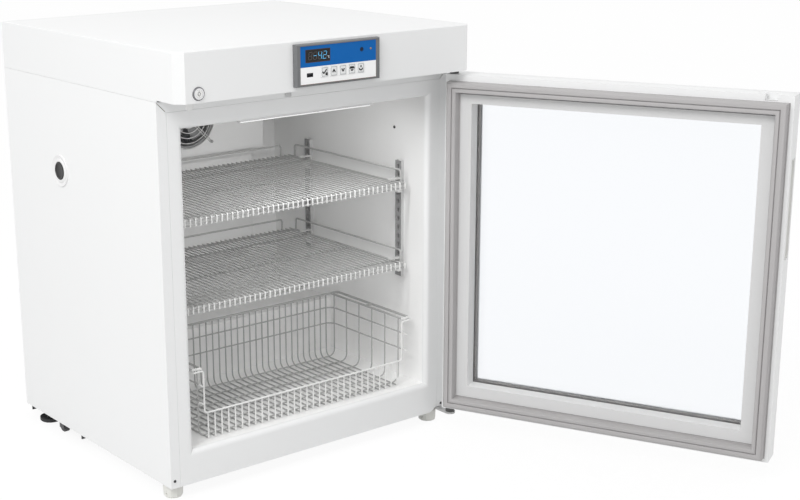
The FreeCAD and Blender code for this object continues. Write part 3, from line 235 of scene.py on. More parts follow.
def reveal_finish():
    """Inner moulding of the door with painted light and shade: grey on its face, painted as shaded, and
    lighter on the reveal round the glass, painted as lit.

    DOOR_FACING is the direction in which the open door's face looks, as x and y.
    """
    finish = Finish("door_inner_plastic")
    x, y = finish.axes("Normal")[:2]
    fine = finish.noise(700.0)
    # Painted light and shade: the colour follows which way each surface faces.
    painted_light_facing = finish.ramp(abs(x * DOOR_FACING[0] + y * DOOR_FACING[1]), 0.5, 0.9)
    base = finish.mix(painted_light_facing, (0.95, 0.95, 0.95, 1.0), (0.7, 0.7, 0.7, 1.0))
    return finish.surface(base, fine * 0.1 + 0.44, fine, 0.00001)


def liner_finish(colour):
    """White plastic of the interior, with painted light: a little lighter in its lower part, where more light
    falls.
    """
    finish = Finish("liner_plastic")
    z = finish.axes()[2]
    fine = finish.noise(600.0)
    # Painted light: the lower walls are lightened by a ramp in height.
    base = finish.mix(finish.ramp(z, 0.15, 0.6), tone(colour, 1.16), colour)
    return finish.surface(base, fine * 0.1 + 0.45, fine, 0.00001)


def screw_finish():
    """Black screws outside and small grey ones inside."""
    finish = Finish("screw_steel")
    y = finish.axes()[1]
    fine = finish.noise(1500.0)
    base = finish.mix(finish.ramp(y, 0.05, 0.06), (0.04, 0.04, 0.042, 1.0), (0.4, 0.4, 0.4, 1.0))
    return finish.principled({"Base Color": base, "Metallic": 0.5, "Roughness": fine * 0.2 + 0.36})


def label_finish(settings):
    """Printed foil of the control panel: a blue field over a white one, with a thin edge."""
    finish = Finish("label_foil")
    x, y, z = finish.axes()
    fine = finish.noise(1500.0)
    blue = finish.ramp(z, 0.7668, 0.7671)
    base = finish.mix(blue, settings.label_white, settings.label_blue)
    low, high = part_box("control_label")
    edge = (abs(x) > high.x - 0.0007) + (z > high.z - 0.0007) + (z < low.z + 0.0007)
    base = finish.mix(finish.ramp(edge, 0.2, 0.8), base, (0.28, 0.2, 0.15, 1.0))
    return finish.principled({
        "Base Color": base, "Roughness": fine * 0.1 + 0.42, "Specular IOR Level": 0.2,
        "Normal": finish.bump(fine, 0.00001)})


def glass_finish():
    """Clear pane with a faint cool tint and almost invisible smears in its gloss."""
    finish = Finish("pane_glass")
    smear = finish.noise(14.0, 3.0)
    return finish.principled({
        "Base Color": (0.975, 0.983, 0.994, 1.0), "Roughness": finish.ramp(smear, 0.1, 0.5) * 0.02,
        "IOR": 1.45, "Transmission Weight": 1.0})


def glow_finish(name, colour, strength, grain=400.0):
    """A surface that gives its own light, a little uneven."""
    finish = Finish(name)
    fine = finish.noise(grain)
    glow = finish.mix(fine * 1.5 + 0.5, tone(colour, 0.94), tone(colour, 1.0))
    return finish.principled({
        "Base Color": colour, "Roughness": 0.5, "Emission Color": glow, "Emission Strength": strength})


def display_finish():
    """Smoked window of the display: near black with a warm rim."""
    finish = Finish("display_window")
    x, y, z = finish.axes()
    low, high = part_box("display_window")
    fine = finish.noise(1500.0)
    rim = (x < low.x + 0.0012) + (x > high.x - 0.0012) + (z < low.z + 0.0012) + (z > high.z - 0.0012)
    base = finish.mix(finish.ramp(rim, 0.2, 0.8), (0.016, 0.014, 0.014, 1.0), (0.05, 0.028, 0.02, 1.0))
    return finish.principled({"Base Color": base, "Roughness": fine * 0.05 + 0.3, "Specular IOR Level": 0.25})


def finned_finish(name, colour):
    """Aluminium fins with fine lines along them."""
    finish = Finish(name)
    lines = finish.noise(60.0, 2.0, (20.0, 1.0, 1.0))
    base = finish.mix(lines + 0.5, tone(colour, 0.7), tone(colour, 1.15))
    return finish.surface(base, lines * 0.2 + 0.4, lines, 0.0001, metallic=0.85)


def foam_finish():
    """Pale yellow foam with small open cells."""
    finish = Finish("foam")
    cells = finish.noise(260.0, 4.0)
    base = finish.mix(cells + 0.5, (0.62, 0.5, 0.26, 1.0), (0.86, 0.76, 0.5, 1.0))
    return finish.surface(base, 0.95, cells, 0.0006)


def coat_nodes(material, *nodes):
    """Puts a material in the slots of CAD nodes."""
    for name in nodes:
        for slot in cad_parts[name].material_slots:
            slot.link = "OBJECT"
            slot.material = material


# Modelling

def deselect():
    if bpy.context.object and bpy.context.object.mode != "OBJECT":
        bpy.ops.object.mode_set(mode="OBJECT")
    bpy.ops.object.select_all(action="DESELECT")


def settle():
    """Moves the place of the active object into its mesh."""
    bpy.ops.object.transform_apply(location=True, rotation=True, scale=True)


def tidy_mesh():
    """Merges doubles and turns the faces outwards, in edit mode, and leaves it."""
    bpy.ops.mesh.select_all(action="SELECT")
    bpy.ops.mesh.remove_doubles(threshold=0.000005)
    bpy.ops.mesh.normals_make_consistent(inside=False)
    bpy.ops.object.mode_set(mode="OBJECT")


def modify(kind, **settings):
    """Adds a modifier to the active object and applies it."""
    obj = bpy.context.object
    modifier = obj.modifiers.new("step", kind)
    for name, value in settings.items():
        setattr(modifier, name, value)
    bpy.ops.object.modifier_apply(modifier="step")
    return obj


def wire(points, radius, bend=0.006, sides=8, steps=4):
    """A round wire: a disc is extruded along each run and spun round each bend.

    The bend is one radius, or one for each corner.
    """
    corners = [Vector(point) for point in points]
    bends = bend if isinstance(bend, tuple) else (bend,) * (len(corners) - 2)
    runs = [after - before for before, after in zip(corners, corners[1:])]
    headings = [run.normalized() for run in runs]
    deselect()
    turn = headings[0].to_track_quat("Z", "Y").to_euler()
    bpy.ops.mesh.primitive_circle_add(vertices=sides, radius=radius, fill_type="NGON", location=corners[0],
                                      rotation=turn)
    settle()
    obj = bpy.context.object
    bpy.ops.object.mode_set(mode="EDIT")
    bpy.ops.mesh.select_all(action="SELECT")
    done = 0.0
    for index, heading in enumerate(headings):
        length = runs[index].length - done
        if index == len(headings) - 1:
            bpy.ops.mesh.extrude_region_move(TRANSFORM_OT_translate={"value": heading * length})
            break
        following = headings[index + 1]
        angle = heading.angle(following)
        done = bends[index] * math.tan(angle / 2)
        bpy.ops.mesh.extrude_region_move(TRANSFORM_OT_translate={"value": heading * (length - done)})
        axis = heading.cross(following).normalized()
        centre = corners[index + 1] - heading * done + axis.cross(heading) * bends[index]
        bpy.ops.mesh.spin(steps=steps, angle=-angle, center=centre, axis=axis)
    tidy_mesh()
    return obj


def ring(centre, axis, major, minor, segments=64, sides=8):
    """A closed round wire."""
    deselect()
    turn = Vector(axis).to_track_quat("Z", "Y").to_euler()
    bpy.ops.mesh.primitive_torus_add(location=centre, rotation=turn, major_radius=major, minor_radius=minor,
                                     major_segments=segments, minor_segments=sides)
    settle()
    return bpy.context.object


def chain(places):
    """A string of edges through the places, left selected in edit mode."""
    deselect()
    bpy.ops.mesh.primitive_plane_add(size=0.001, location=places[0])
    settle()
    bpy.ops.object.mode_set(mode="EDIT")
    bpy.ops.mesh.select_all(action="SELECT")
    bpy.ops.mesh.merge(type="CENTER")
    for before, after in zip(places, places[1:]):
        bpy.ops.mesh.extrude_region_move(TRANSFORM_OT_translate={"value": after - before})
    bpy.ops.mesh.select_all(action="SELECT")
    return bpy.context.object


def lathe(profile, centre, axis, steps=48):
    """A round body: a chain of points (radius, place along the axis) is spun a full turn."""
    along = Vector(axis)
    out = along.orthogonal().normalized()
    obj = chain([Vector(centre) + out * radius + along * place for radius, place in profile])
    bpy.ops.mesh.spin(steps=steps, angle=2 * math.pi, center=centre, axis=along)
    tidy_mesh()
    return obj


def select_where(obj, test):
    """Selects the vertices whose place passes the test, and enters edit mode."""
    bpy.ops.object.mode_set(mode="EDIT")
    bpy.ops.mesh.select_mode(type="VERT")
    bpy.ops.mesh.select_all(action="DESELECT")
    bpy.ops.object.mode_set(mode="OBJECT")
    for vertex in obj.data.vertices:
        vertex.select = test(vertex.co)
    bpy.ops.object.mode_set(mode="EDIT")


def border(profile, low, high):
    """A mitred frame in the x-z plane between two corners: its section is a chain of (inset, y)."""
    half_x, half_z = (high[0] - low[0]) / 2, (high[1] - low[1]) / 2
    centre = Vector(((low[0] + high[0]) / 2, 0, (low[1] + high[1]) / 2))
    obj = chain([centre + Vector((half_x - inset, y, half_x - inset)) for inset, y in profile])
    bpy.ops.mesh.spin(steps=4, angle=2 * math.pi, center=centre, axis=(0, 1, 0))
    tidy_mesh()
    for side in (-1, 1):
        select_where(obj, lambda place: (place.z - centre.z) * side > 0)
        bpy.ops.transform.translate(value=(0, 0, side * (half_z - half_x)))
        bpy.ops.object.mode_set(mode="OBJECT")
    return obj


def prism(outline, left, right):
    """A solid whose outline, given as (y, z), is extruded along x."""
    places = [Vector((left, y, z)) for y, z in outline]
    obj = chain(places)
    bpy.ops.mesh.edge_face_add()
    bpy.ops.mesh.select_all(action="SELECT")
    bpy.ops.mesh.extrude_region_move(TRANSFORM_OT_translate={"value": (right - left, 0, 0)})
    tidy_mesh()
    return obj


def cut_by(obj, cutter):
    """Takes the cutter out of the object."""
    deselect()
    obj.select_set(True)
    bpy.context.view_layer.objects.active = obj
    modify("BOOLEAN", operation="DIFFERENCE", object=cutter)
    bpy.data.objects.remove(cutter)
    return obj


def slab(low, high):
    """A plain block between two corners, which becomes part of a piece or cuts one."""
    low, high = Vector(low), Vector(high)
    deselect()
    bpy.ops.mesh.primitive_cube_add(size=1.0, location=(low + high) / 2, scale=high - low)
    settle()
    return bpy.context.object


def peg(centre, radius, depth, sides, turn=(0, 0, 0), scale=(1, 1, 1)):
    """A plain cylinder along z, or turned, which cuts a piece or becomes part of one."""
    deselect()
    bpy.ops.mesh.primitive_cylinder_add(vertices=sides, radius=radius, depth=depth, location=centre,
                                        rotation=turn, scale=scale)
    settle()
    return bpy.context.object


def repeated(obj, count, step):
    """The object copied in a row."""
    bpy.context.view_layer.objects.active = obj
    return modify("ARRAY", count=count, use_relative_offset=False, use_constant_offset=True,
                  constant_offset_displace=step)


def joined(parts):
    """The parts as one object."""
    deselect()
    for part in parts:
        part.select_set(True)
    bpy.context.view_layer.objects.active = parts[0]
    bpy.ops.object.join()
    return bpy.context.object


def closed_to_open(obj):
    """Turns a piece that was modelled on the closed door to where the door stands."""
    deselect()
    obj.select_set(True)
    bpy.context.view_layer.objects.active = obj
    place = Vector((HINGE[0], HINGE[1], 0.0))
    turn = Matrix.Rotation(DOOR_ANGLE, 4, "Z")
    obj.matrix_world = Matrix.Translation(place) @ turn @ Matrix.Translation(-place)
    settle()
    return obj


def finished(obj, name, material, body, replaces=(), smooth=35.0):
    """Names a piece, gives it its finish and makes it ride on its body."""
    deselect()
    obj.name = name
    obj.data.name = name
    obj.select_set(True)
    bpy.context.view_layer.objects.active = obj
    obj.data.materials.clear()
    obj.data.materials.append(material)
    bpy.ops.object.shade_smooth_by_angle(angle=math.radians(smooth))
    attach(obj, body)
    if replaces:
        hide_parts(*replaces)
    return obj


# Settings

def size(name, text, default):
    return bpy.props.FloatProperty(name=name, description=text, default=default, min=0.0, unit="LENGTH",
                                   precision=5)


def colour(name, text, default):
    return bpy.props.FloatVectorProperty(name=name, description=text, default=default + (1.0,), size=4,
                                         subtype="COLOR", min=0.0, max=1.0)


def power(name, text, default):
    return bpy.props.FloatProperty(name=name, description=text, default=default, min=0.0, unit="POWER")


class RefrigeratorWires(bpy.types.PropertyGroup):
    """Sizes of the wire goods."""
    deck_wire: size("Deck wire", "Diameter of the deck wires of the shelves", 0.0028)
    deck_pitch: size("Deck pitch", "Distance between the deck wires", 0.01125)
    frame_wire: size("Frame wire", "Diameter of the frame wires of the shelves", 0.005)
    lip_drop: size("Lip drop", "How far the deck wires bend down at the front", 0.0152)
    guard_height: size("Guard height", "Height of the guards over the deck", 0.024)
    basket_wire: size("Basket wire", "Diameter of the wires of the basket", 0.0028)
    basket_pitch: size("Basket pitch", "Distance between the upright wires of the basket", 0.015)
    basket_rim: size("Rim wire", "Diameter of the rim of the basket", 0.005)
    grille_wire: size("Grille wire", "Diameter of the wires of the fan grille", 0.002)
    grille_rings: bpy.props.IntProperty(name="Grille rings", description="Number of rings of the fan grille",
                                        default=6, min=2, max=12)


class RefrigeratorColours(bpy.types.PropertyGroup):
    """Colours of the visible finishes."""
    paint: colour("Cabinet paint", "Powder coat of the cabinet and the cap", (0.88, 0.885, 0.885))
    liner: colour("Liner", "Moulded plastic of the inside", (0.86, 0.86, 0.855))
    # The two wire colours are one coating: painted shade inside the cabinet and painted light at the front
    # edges.
    wire_painted_shade: colour("Wire", "Coated wire inside the cabinet", (0.5, 0.5, 0.495))
    wire_painted_light: colour("Wire at the front", "Coated wire at the front edges", (0.86, 0.86, 0.85))
    upright_colour: colour("Uprights", "Front of the slotted uprights", (0.3, 0.3, 0.302))
    label_blue: colour("Label, upper field", "Printed upper field of the control panel", (0.0, 0.125, 0.44))
    label_white: colour("Label, lower field", "Printed lower field of the control panel", (0.98, 0.98, 0.98))
    bezel: colour("Bezel", "Surround of the control panel", (0.17, 0.175, 0.18))
    gasket: colour("Seal", "Rubber of the door seal", (0.55, 0.535, 0.535))
    digits: colour("Digits", "Lit segments of the display", (0.12, 0.5, 0.85))
    floor: colour("Floor", "Plain floor of the studio", (0.72, 0.72, 0.72))


class RefrigeratorStage(bpy.types.PropertyGroup):
    """Light of the studio."""
    world_light: bpy.props.FloatProperty(name="Room light", description="Strength of the even light",
                                         default=0.79, min=0.0, subtype="FACTOR")
    key_light: power("Key lamp", "Power of the large lamp", 56.0)
    strip_light: power("Cabinet light", "Power of the light strip", 0.5)


# Pieces

# Finishes of whole CAD nodes: a name, a colour, what differs from plain plastic, and the nodes
PLAIN_FINISHES = (
    ("galvanised_sheet", (0.55, 0.56, 0.57), {"rough": 0.42, "metal": 0.9, "grain": 90.0, "cloud": 0.12},
     ("back_panel", "base_panel", "rear_cover")),
    ("tray_paint", (0.07, 0.07, 0.072), {"rough": 0.45, "grain": 400.0}, ("compressor_tray",)),
    ("black_enamel", (0.02, 0.02, 0.022), {"rough": 0.35, "grain": 300.0, "depth": 0.00005, "coat": 0.3},
     ("compressor",)),
    ("mount_rubber", (0.03, 0.03, 0.03), {"rough": 0.8, "grain": 500.0, "depth": 0.00005},
     ("compressor_mounts",)),
    ("copper", (0.72, 0.34, 0.2), {"rough": 0.32, "metal": 1.0, "grain": 200.0, "cloud": 0.15},
     ("refrigerant_pipes",)),
    ("black_plastic", (0.03, 0.032, 0.035), {"rough": 0.45, "grain": 600.0, "depth": 0.00003},
     ("condenser_fan_wheel", "power_inlet")),
    ("fan_plastic", (0.36, 0.36, 0.362), {"rough": 0.45, "grain": 600.0, "depth": 0.00003},
     ("evaporator_fan_frame",)),
    ("wheel_plastic", (0.42, 0.42, 0.425), {"rough": 0.4, "grain": 600.0, "depth": 0.00003},
     ("evaporator_fan_wheel",)),
    ("pan_plastic", (0.5, 0.5, 0.5), {"rough": 0.5}, ("drain_pan",)),
    ("probe_steel", (0.6, 0.6, 0.6), {"rough": 0.3, "metal": 1.0}, ("temperature_probe",)),
    ("clip_plastic", (0.8, 0.8, 0.79), {"rough": 0.35, "grain": 700.0}, ("shelf_clips",)),
    ("light_carrier", (0.75, 0.75, 0.75), {"rough": 0.4, "metal": 0.4}, ("light_bar",)),
    ("hinge_steel", (0.46, 0.46, 0.46), {"rough": 0.4, "metal": 0.5, "grain": 300.0},
     ("bottom_hinge_bracket", "top_hinge_bracket")),
    ("sensor_plastic", (0.6, 0.6, 0.6), {"rough": 0.45}, ("door_sensor",)),
)


class REFRIGERATOR_OT_cabinet(bpy.types.Operator):
    """Finish the cabinet, its cap and its hidden machinery"""
    bl_idname = "refrigerator.cabinet"
    bl_label = "Cabinet"

    def execute(self, context):
        colours = context.scene.refrigerator_colours
        smooth = {"depth": 0.00001, "cloud": 0.004}
        paint = coated("cabinet_paint", colours.paint, rough=0.38, grain=700.0, coat=0.15, **smooth)
        coat_nodes(paint, "outer_shell", "front_frame")
        cap = coated("cap_plastic", tone(colours.paint, 0.985), rough=0.36, grain=900.0, coat=0.1, **smooth)
        coat_nodes(cap, "top_cap")
        for name, tint, looks, nodes in PLAIN_FINISHES:
            coat_nodes(coated(name, tint, **looks), *nodes)
        coat_nodes(liner_finish(colours.liner), "inner_liner")
        coat_nodes(foam_finish(), "insulation")
        coat_nodes(finned_finish("condenser_fins", (0.5, 0.5, 0.52)), "condenser")
        coat_nodes(finned_finish("evaporator_fins", (0.62, 0.63, 0.65)), "evaporator")
        coat_nodes(upright_finish(colours), "uprights")
        coat_nodes(glow_finish("light_diffuser", (1.0, 1.0, 1.0, 1.0), 1.3), "light_lens")
        coat_nodes(screw_finish(), "shell_screws")
        return {"FINISHED"}


def wire_shelf(wires, level):
    """One wire shelf whose deck wires lie on the level."""
    thin, thick = wires.deck_wire / 2, wires.frame_wire / 2
    rail, end, brace = 0.0016, 0.0014, 0.002
    front, rear, half = -0.212, 0.160, 0.262
    edge = half - 0.005
    lip = level + wires.deck_wire - wires.lip_drop
    count = 2 * int((half * 2 - wires.frame_wire * 2) / wires.deck_pitch / 2) + 1
    left = -(count - 1) / 2 * wires.deck_pitch
    deck = wire([(left, rear, level + thin), (left, front, level + thin), (left, front, lip)], thin,
                bend=0.0028, steps=3)
    parts = [repeated(deck, count, (wires.deck_pitch, 0, 0))]
    rail_y, reach = front + thin + rail, half - 0.001
    for height in (level - rail, lip + rail):
        parts.append(wire([(-reach, rail_y, height), (reach, rail_y, height)], rail))
    under = level - thick
    parts.append(wire([(-edge, rail_y, under), (-edge, rear - thick, under), (edge, rear - thick, under),
                       (edge, rail_y, under)], thick, bend=0.008))
    for side in (-1, 1):
        x = side * (half - end)
        parts.append(wire([(x, rail_y + 0.004, level - rail), (x, front, level - rail), (x, front, lip)], end,
                          bend=0.002))
    for y in (0.098, -0.042, -0.182):
        parts.append(wire([(-edge, y, level - 0.0021), (edge, y, level - 0.0021)], brace))
    foot, top = level - brace, level + wires.guard_height
    for x in (-edge, edge):
        parts.append(wire([(x, 0.150, foot), (x, 0.150, top), (x, -0.203, top), (x, -0.203, foot)], brace))
    y, wide = rear - thick, 0.226
    parts.append(wire([(-wide, y, foot), (-wide, y, top), (wide, y, top), (wide, y, foot)], brace))
    return joined(parts)


class REFRIGERATOR_OT_shelves(bpy.types.Operator):
    """Make the two wire shelves"""
    bl_idname = "refrigerator.shelves"
    bl_label = "Shelves"

    def execute(self, context):
        wires, colours = context.scene.refrigerator_wires, context.scene.refrigerator_colours
        # Painted light on the front edges of the shelves, painted shade on the wire behind them.
        finish = wire_finish("shelf_wire", colours.wire_painted_shade, colours.wire_painted_light, -0.2116)
        for node in ("shelf_upper", "shelf_lower"):
            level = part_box(node)[1].z - wires.guard_height - wires.deck_wire / 2
            finished(wire_shelf(wires, level), node + "_wires", finish, "cabinet", (node,))
        return {"FINISHED"}


def wire_basket(wires):
    """Wire basket with a low front and a flat rim."""
    thin, thick = wires.basket_wire / 2, wires.basket_rim / 2
    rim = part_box("basket")[1].z
    floor = rim - 0.1407 + thin
    front, rear, side, outer = -0.2315, 0.003, 0.238, 0.256
    front_top = rim - 0.089
    count = 2 * int((side - 0.012) / wires.basket_pitch) + 1
    left = -(count - 1) / 2 * wires.basket_pitch
    z = rim - thick
    upright = wire([(left, rear, z), (left, rear, floor), (left, front, floor), (left, front, front_top)],
                   thin, bend=(0.016, 0.003))
    parts = [repeated(upright, count, (wires.basket_pitch, 0, 0))]
    cross_y, cross_z = rear - 0.012, floor + 2 * thin
    across = wire([(-side, cross_y, z), (-side, cross_y, cross_z), (side, cross_y, cross_z),
                   (side, cross_y, z)], thin, bend=0.014)
    parts.append(repeated(across, 6, (0, -0.042, 0)))
    parts.append(wire([(-side, front, z), (-outer, front, z), (-outer, rear, z), (outer, rear, z),
                       (outer, front, z), (side, front, z)], thick, bend=0.0085))
    middle = (front + rear) / 2
    for sign in (-1, 1):
        parts.append(wire([(sign * side, front - thick, z), (sign * side, rear, z)], thick * 0.9))
        parts.append(wire([(sign * side, middle, z), (sign * outer, middle, z)], thick * 0.9))
    x, back, near = side + 2 * thin, rear + 2 * thin, front - 0.010
    for height in (rim - 0.033, rim - 0.067):
        parts.append(wire([(-x, near, height), (-x, back, height), (x, back, height), (x, near, height)],
                          thin, bend=0.018))
    y, low = front - thin - 0.002, front_top + 0.001
    top, half = rim - 2 * thick - 0.002, side - 0.004
    parts.append(wire([(-outer, y, top), (-half, y, top), (-half, y, low), (half, y, low), (half, y, top),
                       (outer, y, top)], 0.0016, bend=(0.004, 0.007, 0.007, 0.004)))
    return joined(parts)


class REFRIGERATOR_OT_basket(bpy.types.Operator):
    """Make the wire basket"""
    bl_idname = "refrigerator.basket"
    bl_label = "Basket"

    def execute(self, context):
        wires, colours = context.scene.refrigerator_wires, context.scene.refrigerator_colours
        # Painted light on the front of the basket, painted shade on the rest of its wire.
        finish = wire_finish("basket_wire", tone(colours.wire_painted_shade, 0.92), colours.wire_painted_light, -0.2301)
        finished(wire_basket(wires), "basket_wires", finish, "basket", ("basket",))
        return {"FINISHED"}


class REFRIGERATOR_OT_duct(bpy.types.Operator):
    """Make the housing over the evaporator and the wire guard of its fan"""
    bl_idname = "refrigerator.duct"
    bl_label = "Air duct and fan guard"

    def execute(self, context):
        wires, colours = context.scene.refrigerator_wires, context.scene.refrigerator_colours
        low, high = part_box("fan_grille")
        middle = (low + high) / 2
        face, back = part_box("evaporator_cover")
        sheet, fold, drop, duct, opening, past = 0.0012, 0.526, 0.010, 0.210, 0.064, 0.001
        outside = [(back.y, back.z), (face.y, back.z), (face.y, fold), (duct, fold - drop), (duct, face.z),
                   (back.y, face.z)]
        inside = [(back.y + past, back.z + past), (face.y + sheet, back.z + past),
                  (face.y + sheet, fold + sheet), (duct + sheet, fold - drop + sheet),
                  (duct + sheet, face.z - past), (back.y + past, face.z - past)]
        housing = prism(outside, face.x, back.x)
        cut_by(housing, prism(inside, face.x + sheet, back.x - sheet))
        cut_by(housing, peg((0, face.y, middle.z), opening, 0.02, 64, turn=(math.pi / 2, 0, 0)))
        paint = coated("duct_paint", tone(colours.liner, 1.02), rough=0.4, grain=800.0, cloud=0.006)
        finished(housing, "duct_housing", paint, "cabinet", ("evaporator_cover",))

        thin = wires.grille_wire / 2
        y = face.y - 3 * thin
        inner, outer = 0.010, opening - thin
        parts = []
        for index in range(wires.grille_rings):
            radius = inner + (outer - inner) * index / (wires.grille_rings - 1)
            parts.append(ring((0, y, middle.z), (0, 1, 0), radius, thin, 64, 6))
        hub = Vector((0, y + 2 * thin, middle.z))
        arm, apart, eye_place, eye = 0.0730, 0.0022, 0.0754, 0.0026
        for slope in (-1, 1):
            along = Vector((slope, 0, 1)).normalized()
            beside = Vector((1, 0, -slope)).normalized() * apart
            for offset in (-1, 1):
                place = hub + beside * offset
                parts.append(wire([place - along * arm, place + along * arm], thin, sides=6))
            for end in (-1, 1):
                parts.append(ring(hub + along * end * eye_place, (0, 1, 0), eye, thin, 20, 6))
        finish = coated("grille_chrome", (0.72, 0.72, 0.71), rough=0.4, metal=0.1, grain=1200.0)
        finished(joined(parts), "fan_grille_wires", finish, "cabinet", ("fan_grille",))
        return {"FINISHED"}


def stroke(points, y, radius=0.00035):
    """A fine raised line on the front of the panel, through points given as x and z."""
    return wire([(x, y, z) for x, z in points], radius, bend=0.0004, sides=6, steps=2)


# The two ends of each segment of a digit, in widths and half heights
SEGMENTS = {"a": ((0, 2), (1, 2)), "b": ((1, 1), (1, 2)), "c": ((1, 0), (1, 1)), "d": ((0, 0), (1, 0)),
            "e": ((0, 0), (0, 1)), "f": ((0, 1), (0, 2)), "g": ((0, 1), (1, 1))}


def digit_strokes(names, x, z, height, width, y, radius):
    """The named segments of one leaning digit."""
    half, lean = height / 2, 0.12
    parts = []
    for name in names:
        (x0, z0), (x1, z1) = SEGMENTS[name]
        first = Vector((x + x0 * width + z0 * half * lean, z + z0 * half))
        second = Vector((x + x1 * width + z1 * half * lean, z + z1 * half))
        gap = (second - first).normalized() * radius * 1.5
        parts.append(stroke([first + gap, second - gap], y, radius))
    return parts


class REFRIGERATOR_OT_panel(bpy.types.Operator):
    """Finish the control panel and draw its digits and key marks"""
    bl_idname = "refrigerator.panel"
    bl_label = "Control panel"

    def execute(self, context):
        colours = context.scene.refrigerator_colours
        low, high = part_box("control_bezel")
        rim, side, back = 0.0032, 0.0085, high.y
        section = [(0.0, back), (0.0002, low.y + 0.0022), (0.0016, low.y + 0.0002), (0.0024, low.y),
                   (rim, low.y), (rim, back), (0.0, back)]
        surround = border(section, (low.x, low.z), (high.x, high.z))
        cheeks = [slab((x - (side - rim) / 2, low.y + 0.0004, low.z + rim - 0.0001),
                       (x + (side - rim) / 2, back, high.z - rim + 0.0001))
                  for x in (low.x + (side + rim) / 2, high.x - (side + rim) / 2)]
        plastic = coated("bezel_plastic", colours.bezel, rough=0.45, grain=1500.0, depth=0.00002, cloud=0.04)
        finished(joined([surround] + cheeks), "panel_surround", plastic, "cabinet", ("control_bezel",))
        coat_nodes(label_finish(colours), "control_label")
        coat_nodes(display_finish(), "display_window")
        coat_nodes(coated("board", (0.02, 0.12, 0.05), rough=0.4, grain=300.0), "control_board")
        coat_nodes(coated("key_plastic", (0.86, 0.87, 0.87), rough=0.38, grain=1500.0, cloud=0.01), *[
            "key_" + name for name in ("set", "up", "down", "mute", "light")])
        socket = coated("socket_metal", (0.04, 0.04, 0.045), rough=0.4, metal=0.6, grain=1500.0)
        coat_nodes(socket, "usb_socket")
        coat_nodes(coated("lamp_amber", (0.34, 0.2, 0.11), rough=0.3, grain=900.0), "alarm_lamp")
        low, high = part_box("display_window")
        y = low.y
        height, width, margin, pitch, fine = 0.0125, 0.0068, 0.0065, 0.0105, 0.00036
        z = (low.z + high.z) / 2 - height / 2
        lit, dark = [], []
        for index, shown in enumerate(("", "g", "bcfg", "abged")):
            x = low.x + margin + index * pitch
            lit += digit_strokes(shown, x, z, height, width, y, fine)
            rest = [name for name in SEGMENTS if name not in shown]
            dark += digit_strokes(rest, x, z, height, width, y, fine)
        x = low.x + margin + 2 * pitch + width + 0.0014
        lit.append(stroke([(x, z), (x + 0.0006, z)], y, 0.0005))
        glow = glow_finish("digit_glow", colours.digits, 0.7)
        finished(joined(lit), "display_digits", glow, "cabinet")
        ghost = coated("digit_ghost", (0.11, 0.1, 0.1), rough=0.5, grain=1500.0)
        finished(joined(dark), "display_segments", ghost, "cabinet")
        x = high.x - 0.0042
        mark = [ring((x - 0.0010, y, z + 0.0036), (0, 1, 0), 0.0006, 0.0002, 12, 6),
                stroke([(x + 0.0022, z + 0.0036), (x + 0.0006, z + 0.0036), (x + 0.0006, z + 0.0004),
                        (x + 0.0022, z + 0.0004)], y, 0.0003)]
        pale = glow_finish("mark_glow", (0.6, 0.68, 0.72, 1.0), 0.5)
        finished(joined(mark), "display_unit_mark", pale, "cabinet")
        ink = coated("key_ink", (0.008, 0.008, 0.009), rough=0.6, grain=1500.0)
        line = coated("key_line", (0.22, 0.23, 0.24), rough=0.6, grain=1500.0)
        marks = {
            "set": [[(-0.0050, 0.0006), (-0.0022, -0.0026), (0.0040, 0.0046)],
                    [(0.0024, -0.0022), (0.0052, -0.0022), (0.0052, -0.0050), (0.0024, -0.0050),
                     (0.0024, -0.0026)]],
            "up": [[(-0.0028, -0.0022), (0.0, 0.0030), (0.0028, -0.0022)]],
            "down": [[(-0.0028, 0.0026), (0.0, -0.0026), (0.0028, 0.0026)]],
            "mute": [[(-0.0048, 0.0008), (-0.0034, 0.0034), (0.0034, 0.0034), (0.0048, 0.0008)],
                     [(-0.0038, 0.0016), (0.0038, 0.0016)],
                     [(-0.0024, -0.0010), (0.0, -0.0030), (0.0024, -0.0010)]],
            "light": [[(-0.0038, -0.0004), (-0.0020, -0.0034), (0.0020, -0.0034), (0.0038, -0.0004)],
                      [(-0.0010, 0.0022), (0.0010, 0.0022)], [(-0.0010, 0.0034), (0.0010, 0.0034)]],
        }
        for name, lines in marks.items():
            node = "key_" + name
            low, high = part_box(node)
            middle, face, inset = (low + high) / 2, low.y, 0.0016
            parts = [stroke([(middle.x + dx, middle.z + dz) for dx, dz in points], face, 0.0011)
                     for points in lines]
            finished(joined(parts), node + "_mark", ink, node)
            x0, x1, z0, z1 = low.x + inset, high.x - inset, low.z + inset, high.z - inset
            start = (x0, (z0 + z1) / 2)
            frame_line = stroke([start, (x0, z1), (x1, z1), (x1, z0), (x0, z0), start], face, 0.0003)
            finished(frame_line, node + "_line", line, node)
        low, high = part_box("control_label")
        profile = [(0.0, 0.0002), (0.0024, 0.0001), (0.0034, -0.0003), (0.0039, -0.0002), (0.0040, 0.0004),
                   (0.0, 0.0004)]
        hole = lathe(profile, (0.051, low.y, 0.7886), (0, 1, 0), 24)
        # Painted shade: a near-black dished disc stands for the dark inside of the sounder's hole.
        black = coated("sounder_painted_shade", (0.004, 0.004, 0.005), rough=0.8, grain=1500.0)
        finished(hole, "sounder_hole", black, "cabinet")
        return {"FINISHED"}


